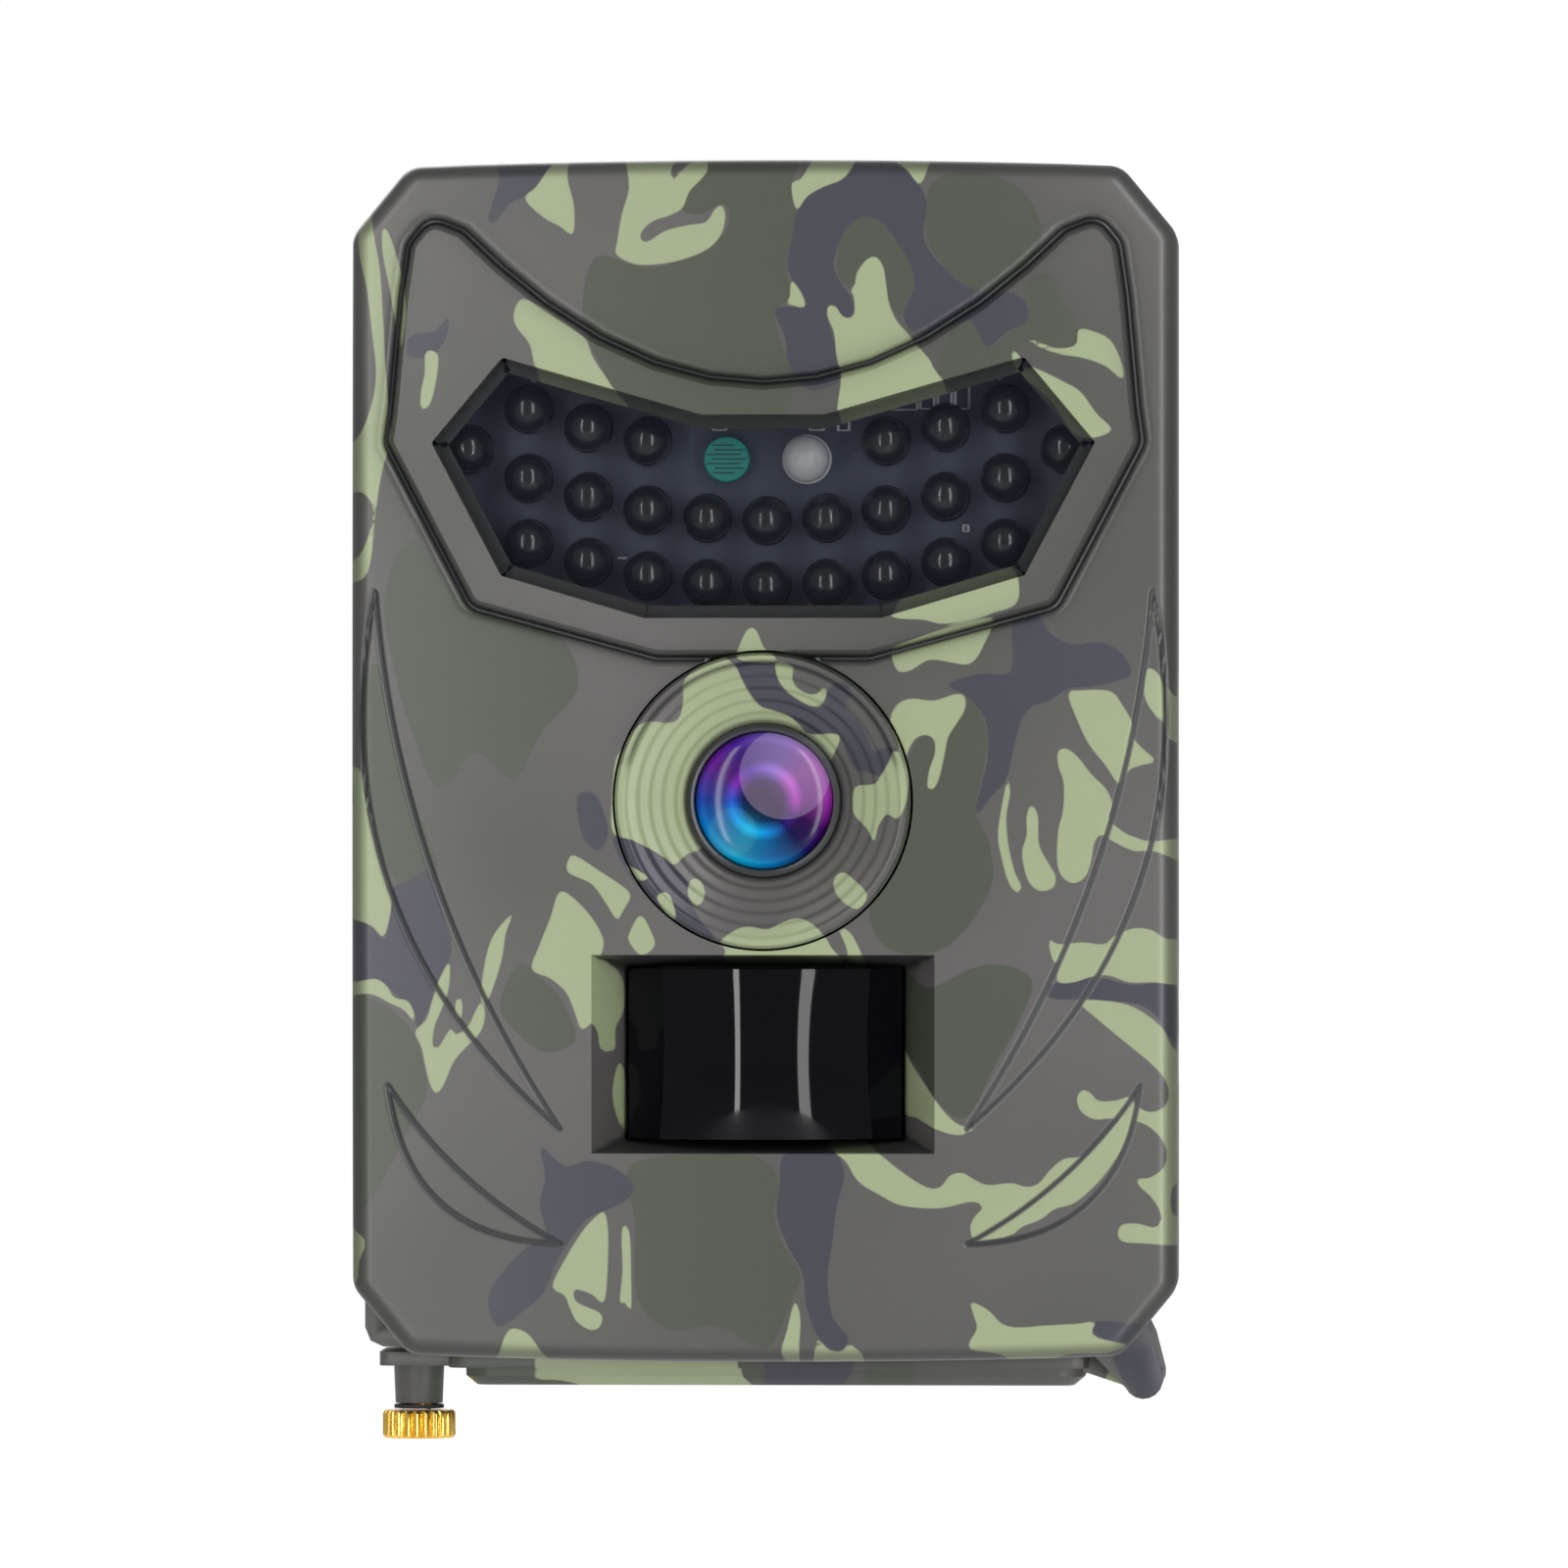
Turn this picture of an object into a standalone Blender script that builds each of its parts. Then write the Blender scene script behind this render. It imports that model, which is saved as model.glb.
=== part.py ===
"""A small battery-powered trail camera, as an assembly of separate pieces.

The camera looks along -Y, +X is to the right of a person facing it, and +Z is up. The origin is the middle of
the flat tree rest on its back. Shapes are drawn in millimetres and stored in metres.
"""

import math

import bmesh
import bpy
from mathutils import Matrix, Vector

MM = 0.001

# Housing: half width, the height of the corners, and how far the top and bottom edges arch out.
HALF_WIDTH = 44.7
CORNER_Z = 57.0
CHAMFER_X = 38.6
EDGE_Z = 64.4
ARCH = 0.6
WALL = 2.2
GAP = 0.3

# Depths, from the tree rest at y = 0 to the front of the face.
BACK_WALL_Y = -8.0
SEAM_Y = -33.0
RIM_Y = -45.0
FACE_Y = -49.0
CROWN_X = 2.2
CROWN_Z = 1.4
PLATEAU_RISE = 1.0

# Middles of the round lens bezel and of the motion sensor's window.
LENS_Z = -4.3
PIR_Z = -31.7
BEZEL_R = 16.0
GLASS_R = 7.5
PIR_HALF = (15.05, 9.45)
PIR_RECESS_HALF = (18.5, 10.75)
PIR_FLOOR_Y = -41.5

# Lamp window, and the grid of infrared lamps behind it.
WINDOW_FRONT_Y = -47.6
WINDOW_THICK = 1.6
LED_PITCH = 6.48
LED_RISE = 0.291
LED_ROWS = {
    "top": (33.6, (2, 3, 4)),
    "middle": (26.1, (0, 1, 2, 3, 4)),
    "bottom": (19.0, (0, 1, 2, 3, 4)),
}
LED_TIP = (5 * LED_PITCH, 33.9)
LED_R = 2.5
SENSOR_PAIR = (4.35, 32.8)
LED_BOARD_Y = (-37.3, -35.7)

# Circuit board behind the lens, battery box behind the board.
BOARD_Y = (-33.0, -31.4)
BOARD_HALF_X = 32.2
BOARD_Z = (-60.5, 12.0)
CELL_R = 7.1
CELL_LENGTH = 50.5
CELL_PITCH = 15.6
CELL_Y = -18.65
CELL_BOTTOM = -60.0
BOX_HALF_X = 32.0
BOX_Y = (-26.8, -10.5)
BOX_Z = (-61.5, -1.5)

# Door under the battery box, its hinge and its thumbscrew.
DOOR_TOP = -EDGE_Z - GAP
DOOR_BOTTOM = -68.2
HINGE = (40.8, -67.4)
HINGE_PIN_R = 0.9
LUG_R = 2.15
SCREW = (-39.1, -21.0)
SCREW_SHANK_R = 1.4
KNURL_COUNT = 22

CASE_SCREWS = ((-36.5, 50.0), (36.5, 50.0), (-36.5, -44.0), (36.5, -44.0))
STRAP_RIDGE_X = (24.0, 30.0)
STRAP_SLOT_Z = (12.0, 40.0)
STRAP_SLOT_Y = (-7.8, -2.8)
TRIPOD_Z = -24.0
TRIPOD_R = 3.175


# ---------------------------------------------------------------- outlines

def rounded(points, radius, steps=3):
    """The polygon with every corner turned into an arc of that radius."""
    result = []
    count = len(points)
    for i, point in enumerate(points):
        corner = Vector(point)
        before = Vector(points[i - 1]) - corner
        after = Vector(points[(i + 1) % count]) - corner
        half = before.angle(after) / 2
        reach = min(radius / math.tan(half), before.length * 0.45, after.length * 0.45)
        start = corner + before.normalized() * reach
        end = corner + after.normalized() * reach
        for k in range(steps + 1):
            t = k / steps
            result.append(tuple(start * (1 - t) ** 2 + corner * (2 * t * (1 - t)) + end * t * t))
    return result


def offset(points, distance):
    """The counter-clockwise polygon grown by that distance, with mitred corners."""
    result = []
    count = len(points)
    for i, point in enumerate(points):
        here = Vector(point)
        into = (here - Vector(points[i - 1])).normalized()
        out = (Vector(points[(i + 1) % count]) - here).normalized()
        normal = Vector((into.y + out.y, -into.x - out.x)).normalized()
        scale = normal.dot(Vector((into.y, -into.x)))
        result.append(tuple(here + normal * distance / scale))
    return result


def mirrored(right_half):
    """A closed outline from its right half, listed from the bottom up."""
    left = [(-x, z) for x, z in reversed(right_half) if x > 1e-6]
    return list(right_half) + left


def circle(radius, steps, centre=(0, 0)):
    turns = [math.tau * (k + 0.5) / steps for k in range(steps)]
    return [(centre[0] + radius * math.cos(a), centre[1] + radius * math.sin(a)) for a in turns]


def rectangle(x0, x1, y0, y1, radius=0, steps=2):
    corners = [(x0, y0), (x1, y0), (x1, y1), (x0, y1)]
    return rounded(corners, radius, steps) if radius else corners


def housing_outline():
    """Octagon with arched top and bottom edges."""
    arch = [(CHAMFER_X * k / 3, EDGE_Z + ARCH * (1 - (k / 3) ** 2)) for k in range(3)]
    bottom = [(x, -z) for x, z in arch]
    corner = [(CHAMFER_X, -EDGE_Z), (HALF_WIDTH, -CORNER_Z), (HALF_WIDTH, CORNER_Z), (CHAMFER_X, EDGE_Z)]
    return mirrored(bottom + rounded_corners_only(corner) + arch[::-1])


def rounded_corners_only(corners, radius=2.5, steps=2):
    """The corner points of the octagon's right side, each as a short arc."""
    closed = rounded([(0, -EDGE_Z)] + corners + [(0, EDGE_Z)], radius, steps)
    return closed[steps + 1:-(steps + 1)]


def rear_outline():
    """As the front's, a little smaller, with the bottom left corner filled for the thumbscrew's boss."""
    outline = offset(housing_outline(), -0.5)
    tail = [p for p in outline if -35.0 < p[0] < -1.0 and p[1] < -50.0]
    head = [p for p in outline if p not in tail and not (p[0] < -35.0 and p[1] < -50.0)]
    corner = [(0.5 - HALF_WIDTH, -61.8), (1.1 - HALF_WIDTH, -63.3), (2.5 - HALF_WIDTH, -63.95)]
    return head + corner + tail


def window_outline():
    right = [(12.8, 15.4), (28.3, 20.0), (35.9, 34.4), (28.2, 43.6), (6.7, 37.4)]
    return mirrored(right)


def plateau_outline():
    """The raised mask round the lamp window: two horns with a hollow curve between them."""
    brow = [(x, 40.0 + 0.0152 * x * x) for x in (32.5, 26.0, 19.0, 12.0, 5.5, 0.0)]
    right = [(11.4, 12.0), (31.0, 17.4), (40.0, 34.4), (38.0, 52.0), (37.2, 56.6), (35.6, 57.8)]
    return mirrored(right + brow)


def arc_points(start, end, sagitta, steps):
    """Points on the arc from start to end that bulges by sagitta to the left of the way there."""
    a, b = Vector(start), Vector(end)
    along = b - a
    left = Vector((-along.y, along.x)).normalized()
    points = []
    for k in range(steps + 1):
        t = k / steps
        points.append(tuple(a + along * t + left * (sagitta * 4 * t * (1 - t))))
    return points


def claw_outline(top, tip, outer, inner):
    """A crescent between two arcs that share their ends, on the left side."""
    out = arc_points(top, tip, -outer, 8)
    back = arc_points(tip, top, inner, 8)
    return out + back[1:-1]


CLAWS = (((-42.0, 18.1), (-22.1, -39.6), 8.9, 4.0), ((-40.6, -35.4), (-22.1, -52.1), 5.4, 1.6))


# ---------------------------------------------------------------- solids

def new_object(name, bm):
    """Puts a bmesh drawn in millimetres into the scene, with its faces pointing out."""
    bmesh.ops.remove_doubles(bm, verts=bm.verts, dist=1e-4)
    bmesh.ops.recalc_face_normals(bm, faces=bm.faces)
    if bm.calc_volume(signed=True) < 0:
        bmesh.ops.reverse_faces(bm, faces=bm.faces)
    bm.transform(Matrix.Scale(MM, 4))
    mesh = bpy.data.meshes.new(name)
    bm.to_mesh(mesh)
    bm.free()
    obj = bpy.data.objects.new(name, mesh)
    bpy.context.scene.collection.objects.link(obj)
    return obj


def placed(point, level, axis):
    """A point of a flat outline at a level along an axis."""
    u, v = point
    return {"x": (level, u, v), "y": (u, level, v), "z": (u, v, level)}[axis]


def prism(outline, lo, hi, axis="y", name="prism"):
    """The outline extruded from one level to another."""
    bm = bmesh.new()
    face = bm.faces.new([bm.verts.new(placed(p, lo, axis)) for p in outline])
    made = bmesh.ops.extrude_face_region(bm, geom=[face])
    moved = [v for v in made["geom"] if isinstance(v, bmesh.types.BMVert)]
    step = Vector(placed((0, 0), hi - lo, axis))
    bmesh.ops.translate(bm, verts=moved, vec=step)
    return new_object(name, bm)


def loft(sections, axis="y", name="loft"):
    """Joins outlines with equal numbers of points, each given with its level."""
    bm = bmesh.new()
    rings = [[bm.verts.new(placed(p, level, axis)) for p in outline] for outline, level in sections]
    count = len(rings[0])
    for low, high in zip(rings, rings[1:]):
        for i in range(count):
            j = (i + 1) % count
            bm.faces.new((low[i], low[j], high[j], high[i]))
    bm.faces.new(rings[0][::-1])
    bm.faces.new(rings[-1])
    return new_object(name, bm)


def band(outer, inner, lo, hi, axis="y", name="band"):
    """The flat ring between two outlines with equal numbers of points."""
    bm = bmesh.new()
    loops = [[bm.verts.new(placed(p, level, axis)) for p in outline]
             for outline, level in ((outer, lo), (outer, hi), (inner, hi), (inner, lo))]
    for i, here in enumerate(loops):
        ahead = loops[(i + 1) % 4]
        for k in range(len(here)):
            j = (k + 1) % len(here)
            bm.faces.new((here[k], here[j], ahead[j], ahead[k]))
    return new_object(name, bm)


def turned(profile, centre, axis="y", steps=24, name="turned"):
    """A closed profile of (radius, level) spun about an axis through centre."""
    bm = bmesh.new()
    half = math.pi / steps
    if axis == "y":
        side = Vector((math.cos(half), 0, math.sin(half)))
        along = Vector((0, 1, 0))
    else:
        side = Vector((math.cos(half), math.sin(half), 0))
        along = Vector((0, 0, 1))
    verts = [bm.verts.new(side * r + along * level) for r, level in profile]
    edges = [bm.edges.new((verts[i - 1], verts[i])) for i in range(len(verts))]
    edges = [e for e in edges if max(v.co.cross(along).length for v in e.verts) > 1e-6]
    bmesh.ops.spin(bm, geom=verts + edges, angle=math.tau, steps=steps, use_merge=True, axis=along,
                   cent=(0, 0, 0))
    loose = [e for e in bm.edges if not e.link_faces]
    bmesh.ops.delete(bm, geom=loose, context="EDGES")
    bmesh.ops.translate(bm, verts=bm.verts, vec=Vector(placed(centre, 0, axis)))
    return new_object(name, bm)


def rod(radius, lo, hi, centre, axis="y", steps=16, name="rod"):
    return prism(circle(radius, steps, centre), lo, hi, axis, name)


def block(x, y, z, name="block"):
    return prism(rectangle(x[0], x[1], y[0], y[1]), z[0], z[1], "z", name)


def tube_along(points, radius, sides, name):
    """A closed round bar that follows the points."""
    bm = bmesh.new()
    rings = []
    for i, point in enumerate(points):
        ahead = Vector(points[min(i + 1, len(points) - 1)]) - Vector(points[max(i - 1, 0)])
        across = Vector((-ahead.y, ahead.x, 0)).normalized()
        up = ahead.cross(across).normalized()
        ring = []
        for k in range(sides):
            a = math.tau * k / sides
            ring.append(bm.verts.new(Vector(point) + (across * math.cos(a) + up * math.sin(a)) * radius))
        rings.append(ring)
    for low, high in zip(rings, rings[1:]):
        for k in range(sides):
            j = (k + 1) % sides
            bm.faces.new((low[k], low[j], high[j], high[k]))
    bm.faces.new(rings[0][::-1])
    bm.faces.new(rings[-1])
    return new_object(name, bm)


def apply_modifiers(obj):
    bpy.context.view_layer.update()
    graph = bpy.context.evaluated_depsgraph_get()
    mesh = bpy.data.meshes.new_from_object(obj.evaluated_get(graph))
    obj.modifiers.clear()
    obj.data = mesh


def combine(obj, operation, *tools):
    """Boolean of obj with each tool in turn. The tools are used up."""
    for tool in tools:
        modifier = obj.modifiers.new(operation, "BOOLEAN")
        modifier.operation = operation
        modifier.object = tool
        apply_modifiers(obj)
        bpy.data.objects.remove(tool)
    return obj


def cut(obj, *tools):
    return combine(obj, "DIFFERENCE", *tools)


def join(obj, *tools):
    return combine(obj, "UNION", *tools)


def common(obj, *tools):
    return combine(obj, "INTERSECT", *tools)


# ---------------------------------------------------------------- finish, origins and parents

def material(name, colour, roughness, metallic=0.0, alpha=1.0):
    made = bpy.data.materials.get(name)
    if made:
        return made
    made = bpy.data.materials.new(name)
    made.use_nodes = True
    shader = made.node_tree.nodes["Principled BSDF"]
    shader.inputs["Base Color"].default_value = (*colour, 1.0)
    shader.inputs["Roughness"].default_value = roughness
    shader.inputs["Metallic"].default_value = metallic
    shader.inputs["Alpha"].default_value = alpha
    made.diffuse_color = (*colour, alpha)
    return made


FINISHES = {
    "camo": ((0.13, 0.14, 0.11), 0.42),
    "black_plastic": ((0.015, 0.016, 0.018), 0.35),
    "smoked_window": ((0.03, 0.035, 0.05), 0.06, 0.0, 0.45),
    "pir_black": ((0.004, 0.005, 0.008), 0.08),
    "rubber": ((0.02, 0.02, 0.02), 0.8),
    "brass": ((0.85, 0.58, 0.18), 0.25, 1.0),
    "steel": ((0.55, 0.55, 0.56), 0.3, 1.0),
    "board": ((0.02, 0.03, 0.05), 0.5),
    "glass": ((0.1, 0.05, 0.35), 0.03, 0.0, 0.6),
    "cell": ((0.18, 0.19, 0.2), 0.35, 0.6),
    "cell_clear": ((0.8, 0.8, 0.85), 0.1, 0.0, 0.6),
    "sensor_teal": ((0.05, 0.55, 0.5), 0.4),
    "ribbon": ((0.55, 0.5, 0.4), 0.5),
}


def finish(obj, name, finish_name, origin=None, parent=None):
    """Names a piece, gives it its material and smooth shading, and sets its origin and parent."""
    obj.name = name
    obj.data.name = name
    obj.data.materials.clear()
    obj.data.materials.append(material(finish_name, *FINISHES[finish_name]))
    obj.data.shade_smooth()
    obj.data.set_sharp_from_angle(angle=math.radians(32))
    if origin:
        at = Vector(origin) * MM
        obj.data.transform(Matrix.Translation(-at))
        obj.location = at
    if parent:
        obj.parent = parent
        bpy.context.view_layer.update()
        obj.matrix_parent_inverse = parent.matrix_world.inverted()
    return obj


def marker(name, point, parent=None):
    """An empty on a joint's axis."""
    empty = bpy.data.objects.new(name, None)
    empty.empty_display_size = 0.01
    empty.location = Vector(point) * MM
    bpy.context.scene.collection.objects.link(empty)
    bpy.context.view_layer.update()
    if parent:
        empty.parent = parent
        empty.matrix_parent_inverse = parent.matrix_world.inverted()
        bpy.context.view_layer.update()
    return empty


# ---------------------------------------------------------------- housing

def crown_y(x, z, shift=0.0):
    """Depth of the crowned face. A positive shift is nearer the inside."""
    return FACE_Y + CROWN_X * (x / HALF_WIDTH) ** 2 + CROWN_Z * (z / EDGE_Z) ** 2 + shift


def crown_block(shift):
    """Everything behind the crowned face, as two curved blocks that cross."""
    xs = [50.0 * k / 5 for k in range(-5, 6)]
    zs = [70.0 * k / 4 for k in range(-4, 5)]
    across = [(x, crown_y(x, 0, shift)) for x in xs] + [(50.0, 5.0), (-50.0, 5.0)]
    upright = [(crown_y(0, z, shift), z) for z in zs] + [(5.0, 70.0), (5.0, -70.0)]
    return common(prism(across, -75.0, 75.0, "z"), prism(upright, -55.0, 55.0, "x"))


def crowned_prism(outline, back, shift):
    return common(prism(outline, back, FACE_Y - 4.0), crown_block(shift))


def front_cover():
    outline = housing_outline()
    shell = loft([
        (outline, SEAM_Y - GAP / 2),
        (outline, RIM_Y - 0.6),
        (offset(outline, -1.5), RIM_Y - 2.4),
        (offset(outline, -1.6), FACE_Y - 2.0),
    ])
    common(shell, crown_block(0.0))
    cavity = prism(offset(outline, -WALL), SEAM_Y + 2.0, FACE_Y)
    cut(shell, common(cavity, crown_block(WALL)))
    join(shell, crowned_prism(plateau_outline(), FACE_Y + 3.5, -PLATEAU_RISE))
    for claw in CLAWS:
        left = claw_outline(*claw)
        right = [(-x, z) for x, z in reversed(left)]
        for outline_xz in (left, right):
            join(shell, crowned_prism(outline_xz, FACE_Y + 4.0, -0.35))
    add_window_seat(shell)
    add_pir_pocket(shell)
    cut(shell, rod(BEZEL_R + GAP, FACE_Y - 3.0, SEAM_Y - 4.0, (0, LENS_Z), steps=32))
    add_case_bosses(shell)
    return finish(shell, "front_cover", "camo")


def add_window_seat(shell):
    """A frame behind the lamp window, the pocket it drops into, and the opening through."""
    window = window_outline()
    join(shell, prism(offset(window, 2.0), FACE_Y + 2.6, WINDOW_FRONT_Y + WINDOW_THICK + 1.6))
    back_of_window = WINDOW_FRONT_Y + WINDOW_THICK + GAP / 2
    cut(shell, prism(offset(window, GAP / 2), FACE_Y - 4.0, back_of_window))
    cut(shell, prism(offset(window, -1.4), FACE_Y, SEAM_Y - 6.0))


def add_pir_pocket(shell):
    """The walls round the motion sensor's window, flared towards the front."""
    half_x, half_z = PIR_RECESS_HALF
    inner_x, inner_z = PIR_HALF
    grown = rectangle(-half_x - 1.5, half_x + 1.5, PIR_Z - half_z - 1.5, PIR_Z + half_z + 1.5)
    join(shell, prism(grown, FACE_Y + 2.6, PIR_FLOOR_Y + 1.6))
    flare = loft([
        (rectangle(-half_x - 0.6, half_x + 0.6, PIR_Z - half_z - 0.25, PIR_Z + half_z + 0.25), FACE_Y - 1.4),
        (rectangle(-inner_x, inner_x, PIR_Z - inner_z, PIR_Z + inner_z), PIR_FLOOR_Y),
        (rectangle(-inner_x, inner_x, PIR_Z - inner_z, PIR_Z + inner_z), PIR_FLOOR_Y + 3.0),
    ])
    cut(shell, flare)


def add_case_bosses(shell):
    """Four posts that the case screws bite into."""
    for centre in CASE_SCREWS:
        join(shell, rod(3.3, SEAM_Y - 0.5, RIM_Y - 1.0, centre, steps=12))
        cut(shell, rod(1.6, SEAM_Y + 1.0, SEAM_Y - 9.0, centre, steps=10))


def lug_outline():
    """The hinge lug hangs from the housing's bottom right corner and ends in a round eye."""
    eye = [(HINGE[0] + LUG_R * math.cos(a), HINGE[1] + LUG_R * math.sin(a))
           for a in [math.radians(205 + 165 * k / 8) for k in range(9)]]
    return eye + [(41.9, -63.0), (40.9, -60.9), (36.8, -62.4), (34.9, -63.4), (35.4, -64.8)]


def ridge_outline():
    """Side view (y, z) of a strap ridge, with teeth that grip bark on each side of the flat middle."""
    teeth = []
    for z in range(-38, 42, 5):
        flat = abs(z) <= 8
        teeth += [(0.0, z + 0.6), (0.0, z + 3.4)] + ([] if flat else [(-1.2, z + 4.0)])
    return [(BACK_WALL_Y - 0.8, 44.0), (BACK_WALL_Y - 0.8, -42.0), (-3.0, -42.0)] + teeth + [(-3.0, 44.0)]


def rear_shell():
    outline = rear_outline()
    front = SEAM_Y + GAP / 2
    shell = loft([
        (outline, front),
        (outline, BACK_WALL_Y - 2.2),
        (offset(outline, -2.0), BACK_WALL_Y),
    ])
    cut(shell, prism(offset(outline, -WALL), front - 1.0, BACK_WALL_Y - WALL))
    boss = rectangle(-HALF_WIDTH + 1.6, -35.4, -EDGE_Z + 0.6, -54.0)
    join(shell, prism(boss, SCREW[1] - 6.0, SCREW[1] + 6.0))
    cut(shell, prism(rectangle(-34.6, 34.6, -31.4, -11.0, 2.0), -70.0, -62.0, "z"))
    for centre in CASE_SCREWS:
        join(shell, rod(3.9, front, BACK_WALL_Y - 1.0, centre, steps=16))
        cut(shell, rod(3.1, BACK_WALL_Y + 1.0, SEAM_Y + 3.6, centre, steps=16))
        cut(shell, rod(1.75, SEAM_Y - 1.0, SEAM_Y + 5.0, centre, steps=10))
    for lo, hi in ((-32.5, -30.2), (-12.6, -10.3)):
        join(shell, prism(lug_outline(), lo, hi))
    cut(shell, rod(HINGE_PIN_R + 0.12, -31.9, -5.0, HINGE, steps=12))
    cut(shell, rod(2.35, -66.0, -57.4, SCREW, "z"))
    add_tree_rest(shell)
    return finish(shell, "rear_shell", "camo")


def add_tree_rest(shell):
    """Two toothed ridges with strap slots, the flat bar between them and the tripod boss."""
    inner, outer = STRAP_RIDGE_X
    for side in (-1, 1):
        lo, hi = sorted((side * inner, side * outer))
        join(shell, prism(ridge_outline(), lo, hi, "x"))
        slot = block((lo - 1.0, hi + 1.0), STRAP_SLOT_Y, STRAP_SLOT_Z)
        cut(shell, slot)
    join(shell, block((-inner - 1.0, inner + 1.0), (BACK_WALL_Y - 0.8, 0.0), (-7.0, 7.0)))
    join(shell, rod(8.0, BACK_WALL_Y - 0.8, -3.0, (0, TRIPOD_Z), steps=24))
    cut(shell, rod(4.3, -9.6, -1.0, (0, TRIPOD_Z), steps=20))


def case_seal():
    """The rubber ring just inside the seam between the two shells."""
    outline = offset(housing_outline(), -WALL - 0.65)
    finish(band(outline, offset(outline, -1.1), SEAM_Y - 0.9, SEAM_Y + 0.9), "case_seal", "rubber")


def case_screws():
    for number, centre in enumerate(CASE_SCREWS, 1):
        head_y = SEAM_Y + 3.9
        profile = [(0, head_y + 1.9), (1.6, head_y + 1.7), (2.6, head_y + 0.8), (2.6, head_y),
                   (1.4, head_y), (1.4, SEAM_Y - 7.6), (0.4, SEAM_Y - 8.6), (0, SEAM_Y - 8.6)]
        screw = turned(profile, centre, steps=10)
        for size in ((2.0, 0.35), (0.35, 2.0)):
            cut(screw, block((centre[0] - size[0], centre[0] + size[0]), (head_y + 0.9, head_y + 3.0),
                             (centre[1] - size[1], centre[1] + size[1])))
        finish(screw, f"case_screw_{number}", "steel")


# ---------------------------------------------------------------- face fittings

def led_window():
    front, back = WINDOW_FRONT_Y, WINDOW_FRONT_Y + WINDOW_THICK
    finish(prism(offset(window_outline(), -0.15), front, back), "led_window", "smoked_window")


def lens_group():
    centre = (0, LENS_Z)
    steps = 4
    lip_r, foot_r, lip_y, foot_y = 14.4, 8.6, -49.7, -45.4
    funnel = []
    for k in range(steps):
        share, after = k / steps, (k + 0.75) / steps
        funnel.append((lip_r + (foot_r - lip_r) * share, lip_y + (foot_y - lip_y) * share))
        funnel.append((lip_r + (foot_r - lip_r) * after, lip_y + (foot_y - lip_y) * share))
    profile = [(BEZEL_R, -46.0), (BEZEL_R, -49.4), (15.4, -50.1)] + funnel
    profile += [(foot_r, foot_y), (foot_r, -41.0), (10.0, -41.0), (10.0, -44.0), (15.0, -46.0)]
    finish(turned(profile, centre, steps=32), "lens_bezel", "camo")
    ring = [(8.3, -41.2), (8.3, -46.2), (7.9, -46.6), (GLASS_R, -46.2), (GLASS_R, -43.3),
            (6.2, -43.3), (6.2, -41.2)]
    finish(turned(ring, centre, steps=28), "lens_ring", "black_plastic")
    dome = [(7.2 * math.sin(a), -45.3 - 1.3 * math.cos(a)) for a in [math.pi / 2 * k / 4 for k in range(5)]]
    glass = [(0, -43.6)] + dome + [(7.2, -43.6)]
    finish(turned(glass, centre, steps=28), "lens_glass", "glass")
    barrel = [(5.9, -38.3), (5.9, -43.0), (4.8, -43.0), (3.0, -40.4), (3.0, -38.3)]
    finish(turned(barrel, centre, steps=20), "lens_barrel", "black_plastic")
    add_lens_holder()


def add_lens_holder():
    """The mount behind the lens, with the day and night filter that slides across in front of the sensor."""
    holder = block((-11.0, 11.0), (-38.0, -33.3), (LENS_Z - 7.0, LENS_Z + 7.0))
    cut(holder, block((-10.0, 10.0), (-36.2, -32.0), (LENS_Z - 5.0, LENS_Z + 5.0)))
    cut(holder, rod(2.9, -39.0, -36.0, (0, LENS_Z)))
    finish(holder, "lens_holder", "black_plastic")
    slider = block((-3.4, 9.3), (-35.8, -35.1), (LENS_Z - 4.4, LENS_Z + 4.4))
    for x in (0.0, 6.0):
        cut(slider, rod(2.5, -37.0, -34.0, (x, LENS_Z), steps=12))
    axis = marker("ir_cut_slide", (0, -35.4, LENS_Z))
    finish(slider, "ir_cut_slider", "black_plastic", (0, -35.4, LENS_Z), axis)
    sensor = block((-4.0, 4.0), (-34.4, -33.3), (LENS_Z - 3.2, LENS_Z + 3.2))
    finish(sensor, "image_sensor", "black_plastic")


def pir_group():
    """The black curved window, hollow from behind, on its flange, and the sensor can behind it."""
    half_x, half_z = PIR_HALF[0] - 0.25, PIR_HALF[1] - 0.25
    side_y, bulge = -42.8, 7.5
    arc = [(x, -y_out) for x, y_out in arc_points((half_x, -side_y), (-half_x, -side_y), -bulge, 12)]
    body = prism(arc + [(-half_x, -39.3), (half_x, -39.3)], PIR_Z - half_z, PIR_Z + half_z, "z")
    thin_x = half_x - 1.1
    inner_arc = arc_points((thin_x, -side_y), (-thin_x, -side_y), -bulge + 1.1, 12)
    inner = [(x, -y_out) for x, y_out in inner_arc]
    flange = rectangle(-18.0, 18.0, PIR_Z - 12.0, PIR_Z + 12.0)
    join(body, prism(flange, -39.6, -38.4))
    inner += [(-thin_x, -37.0), (thin_x, -37.0)]
    hollow = prism(inner, PIR_Z - half_z + 1.1, PIR_Z + half_z - 1.1, "z")
    cut(body, hollow)
    finish(body, "pir_lens", "pir_black")
    can = [(0, -33.3), (4.6, -33.3), (4.6, -34.1), (4.1, -34.1), (4.1, -37.8), (0, -37.8)]
    finish(turned(can, (0, PIR_Z), steps=16), "pir_sensor", "steel")


def led_places():
    """Middles of the infrared lamps, in x and z."""
    places = [(side * LED_TIP[0], LED_TIP[1]) for side in (-1, 1)]
    for level, columns in LED_ROWS.values():
        for k in columns:
            for side in ((-1, 1) if k else (1,)):
                places.append((side * k * LED_PITCH, level + LED_RISE * k * k))
    return places


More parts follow.
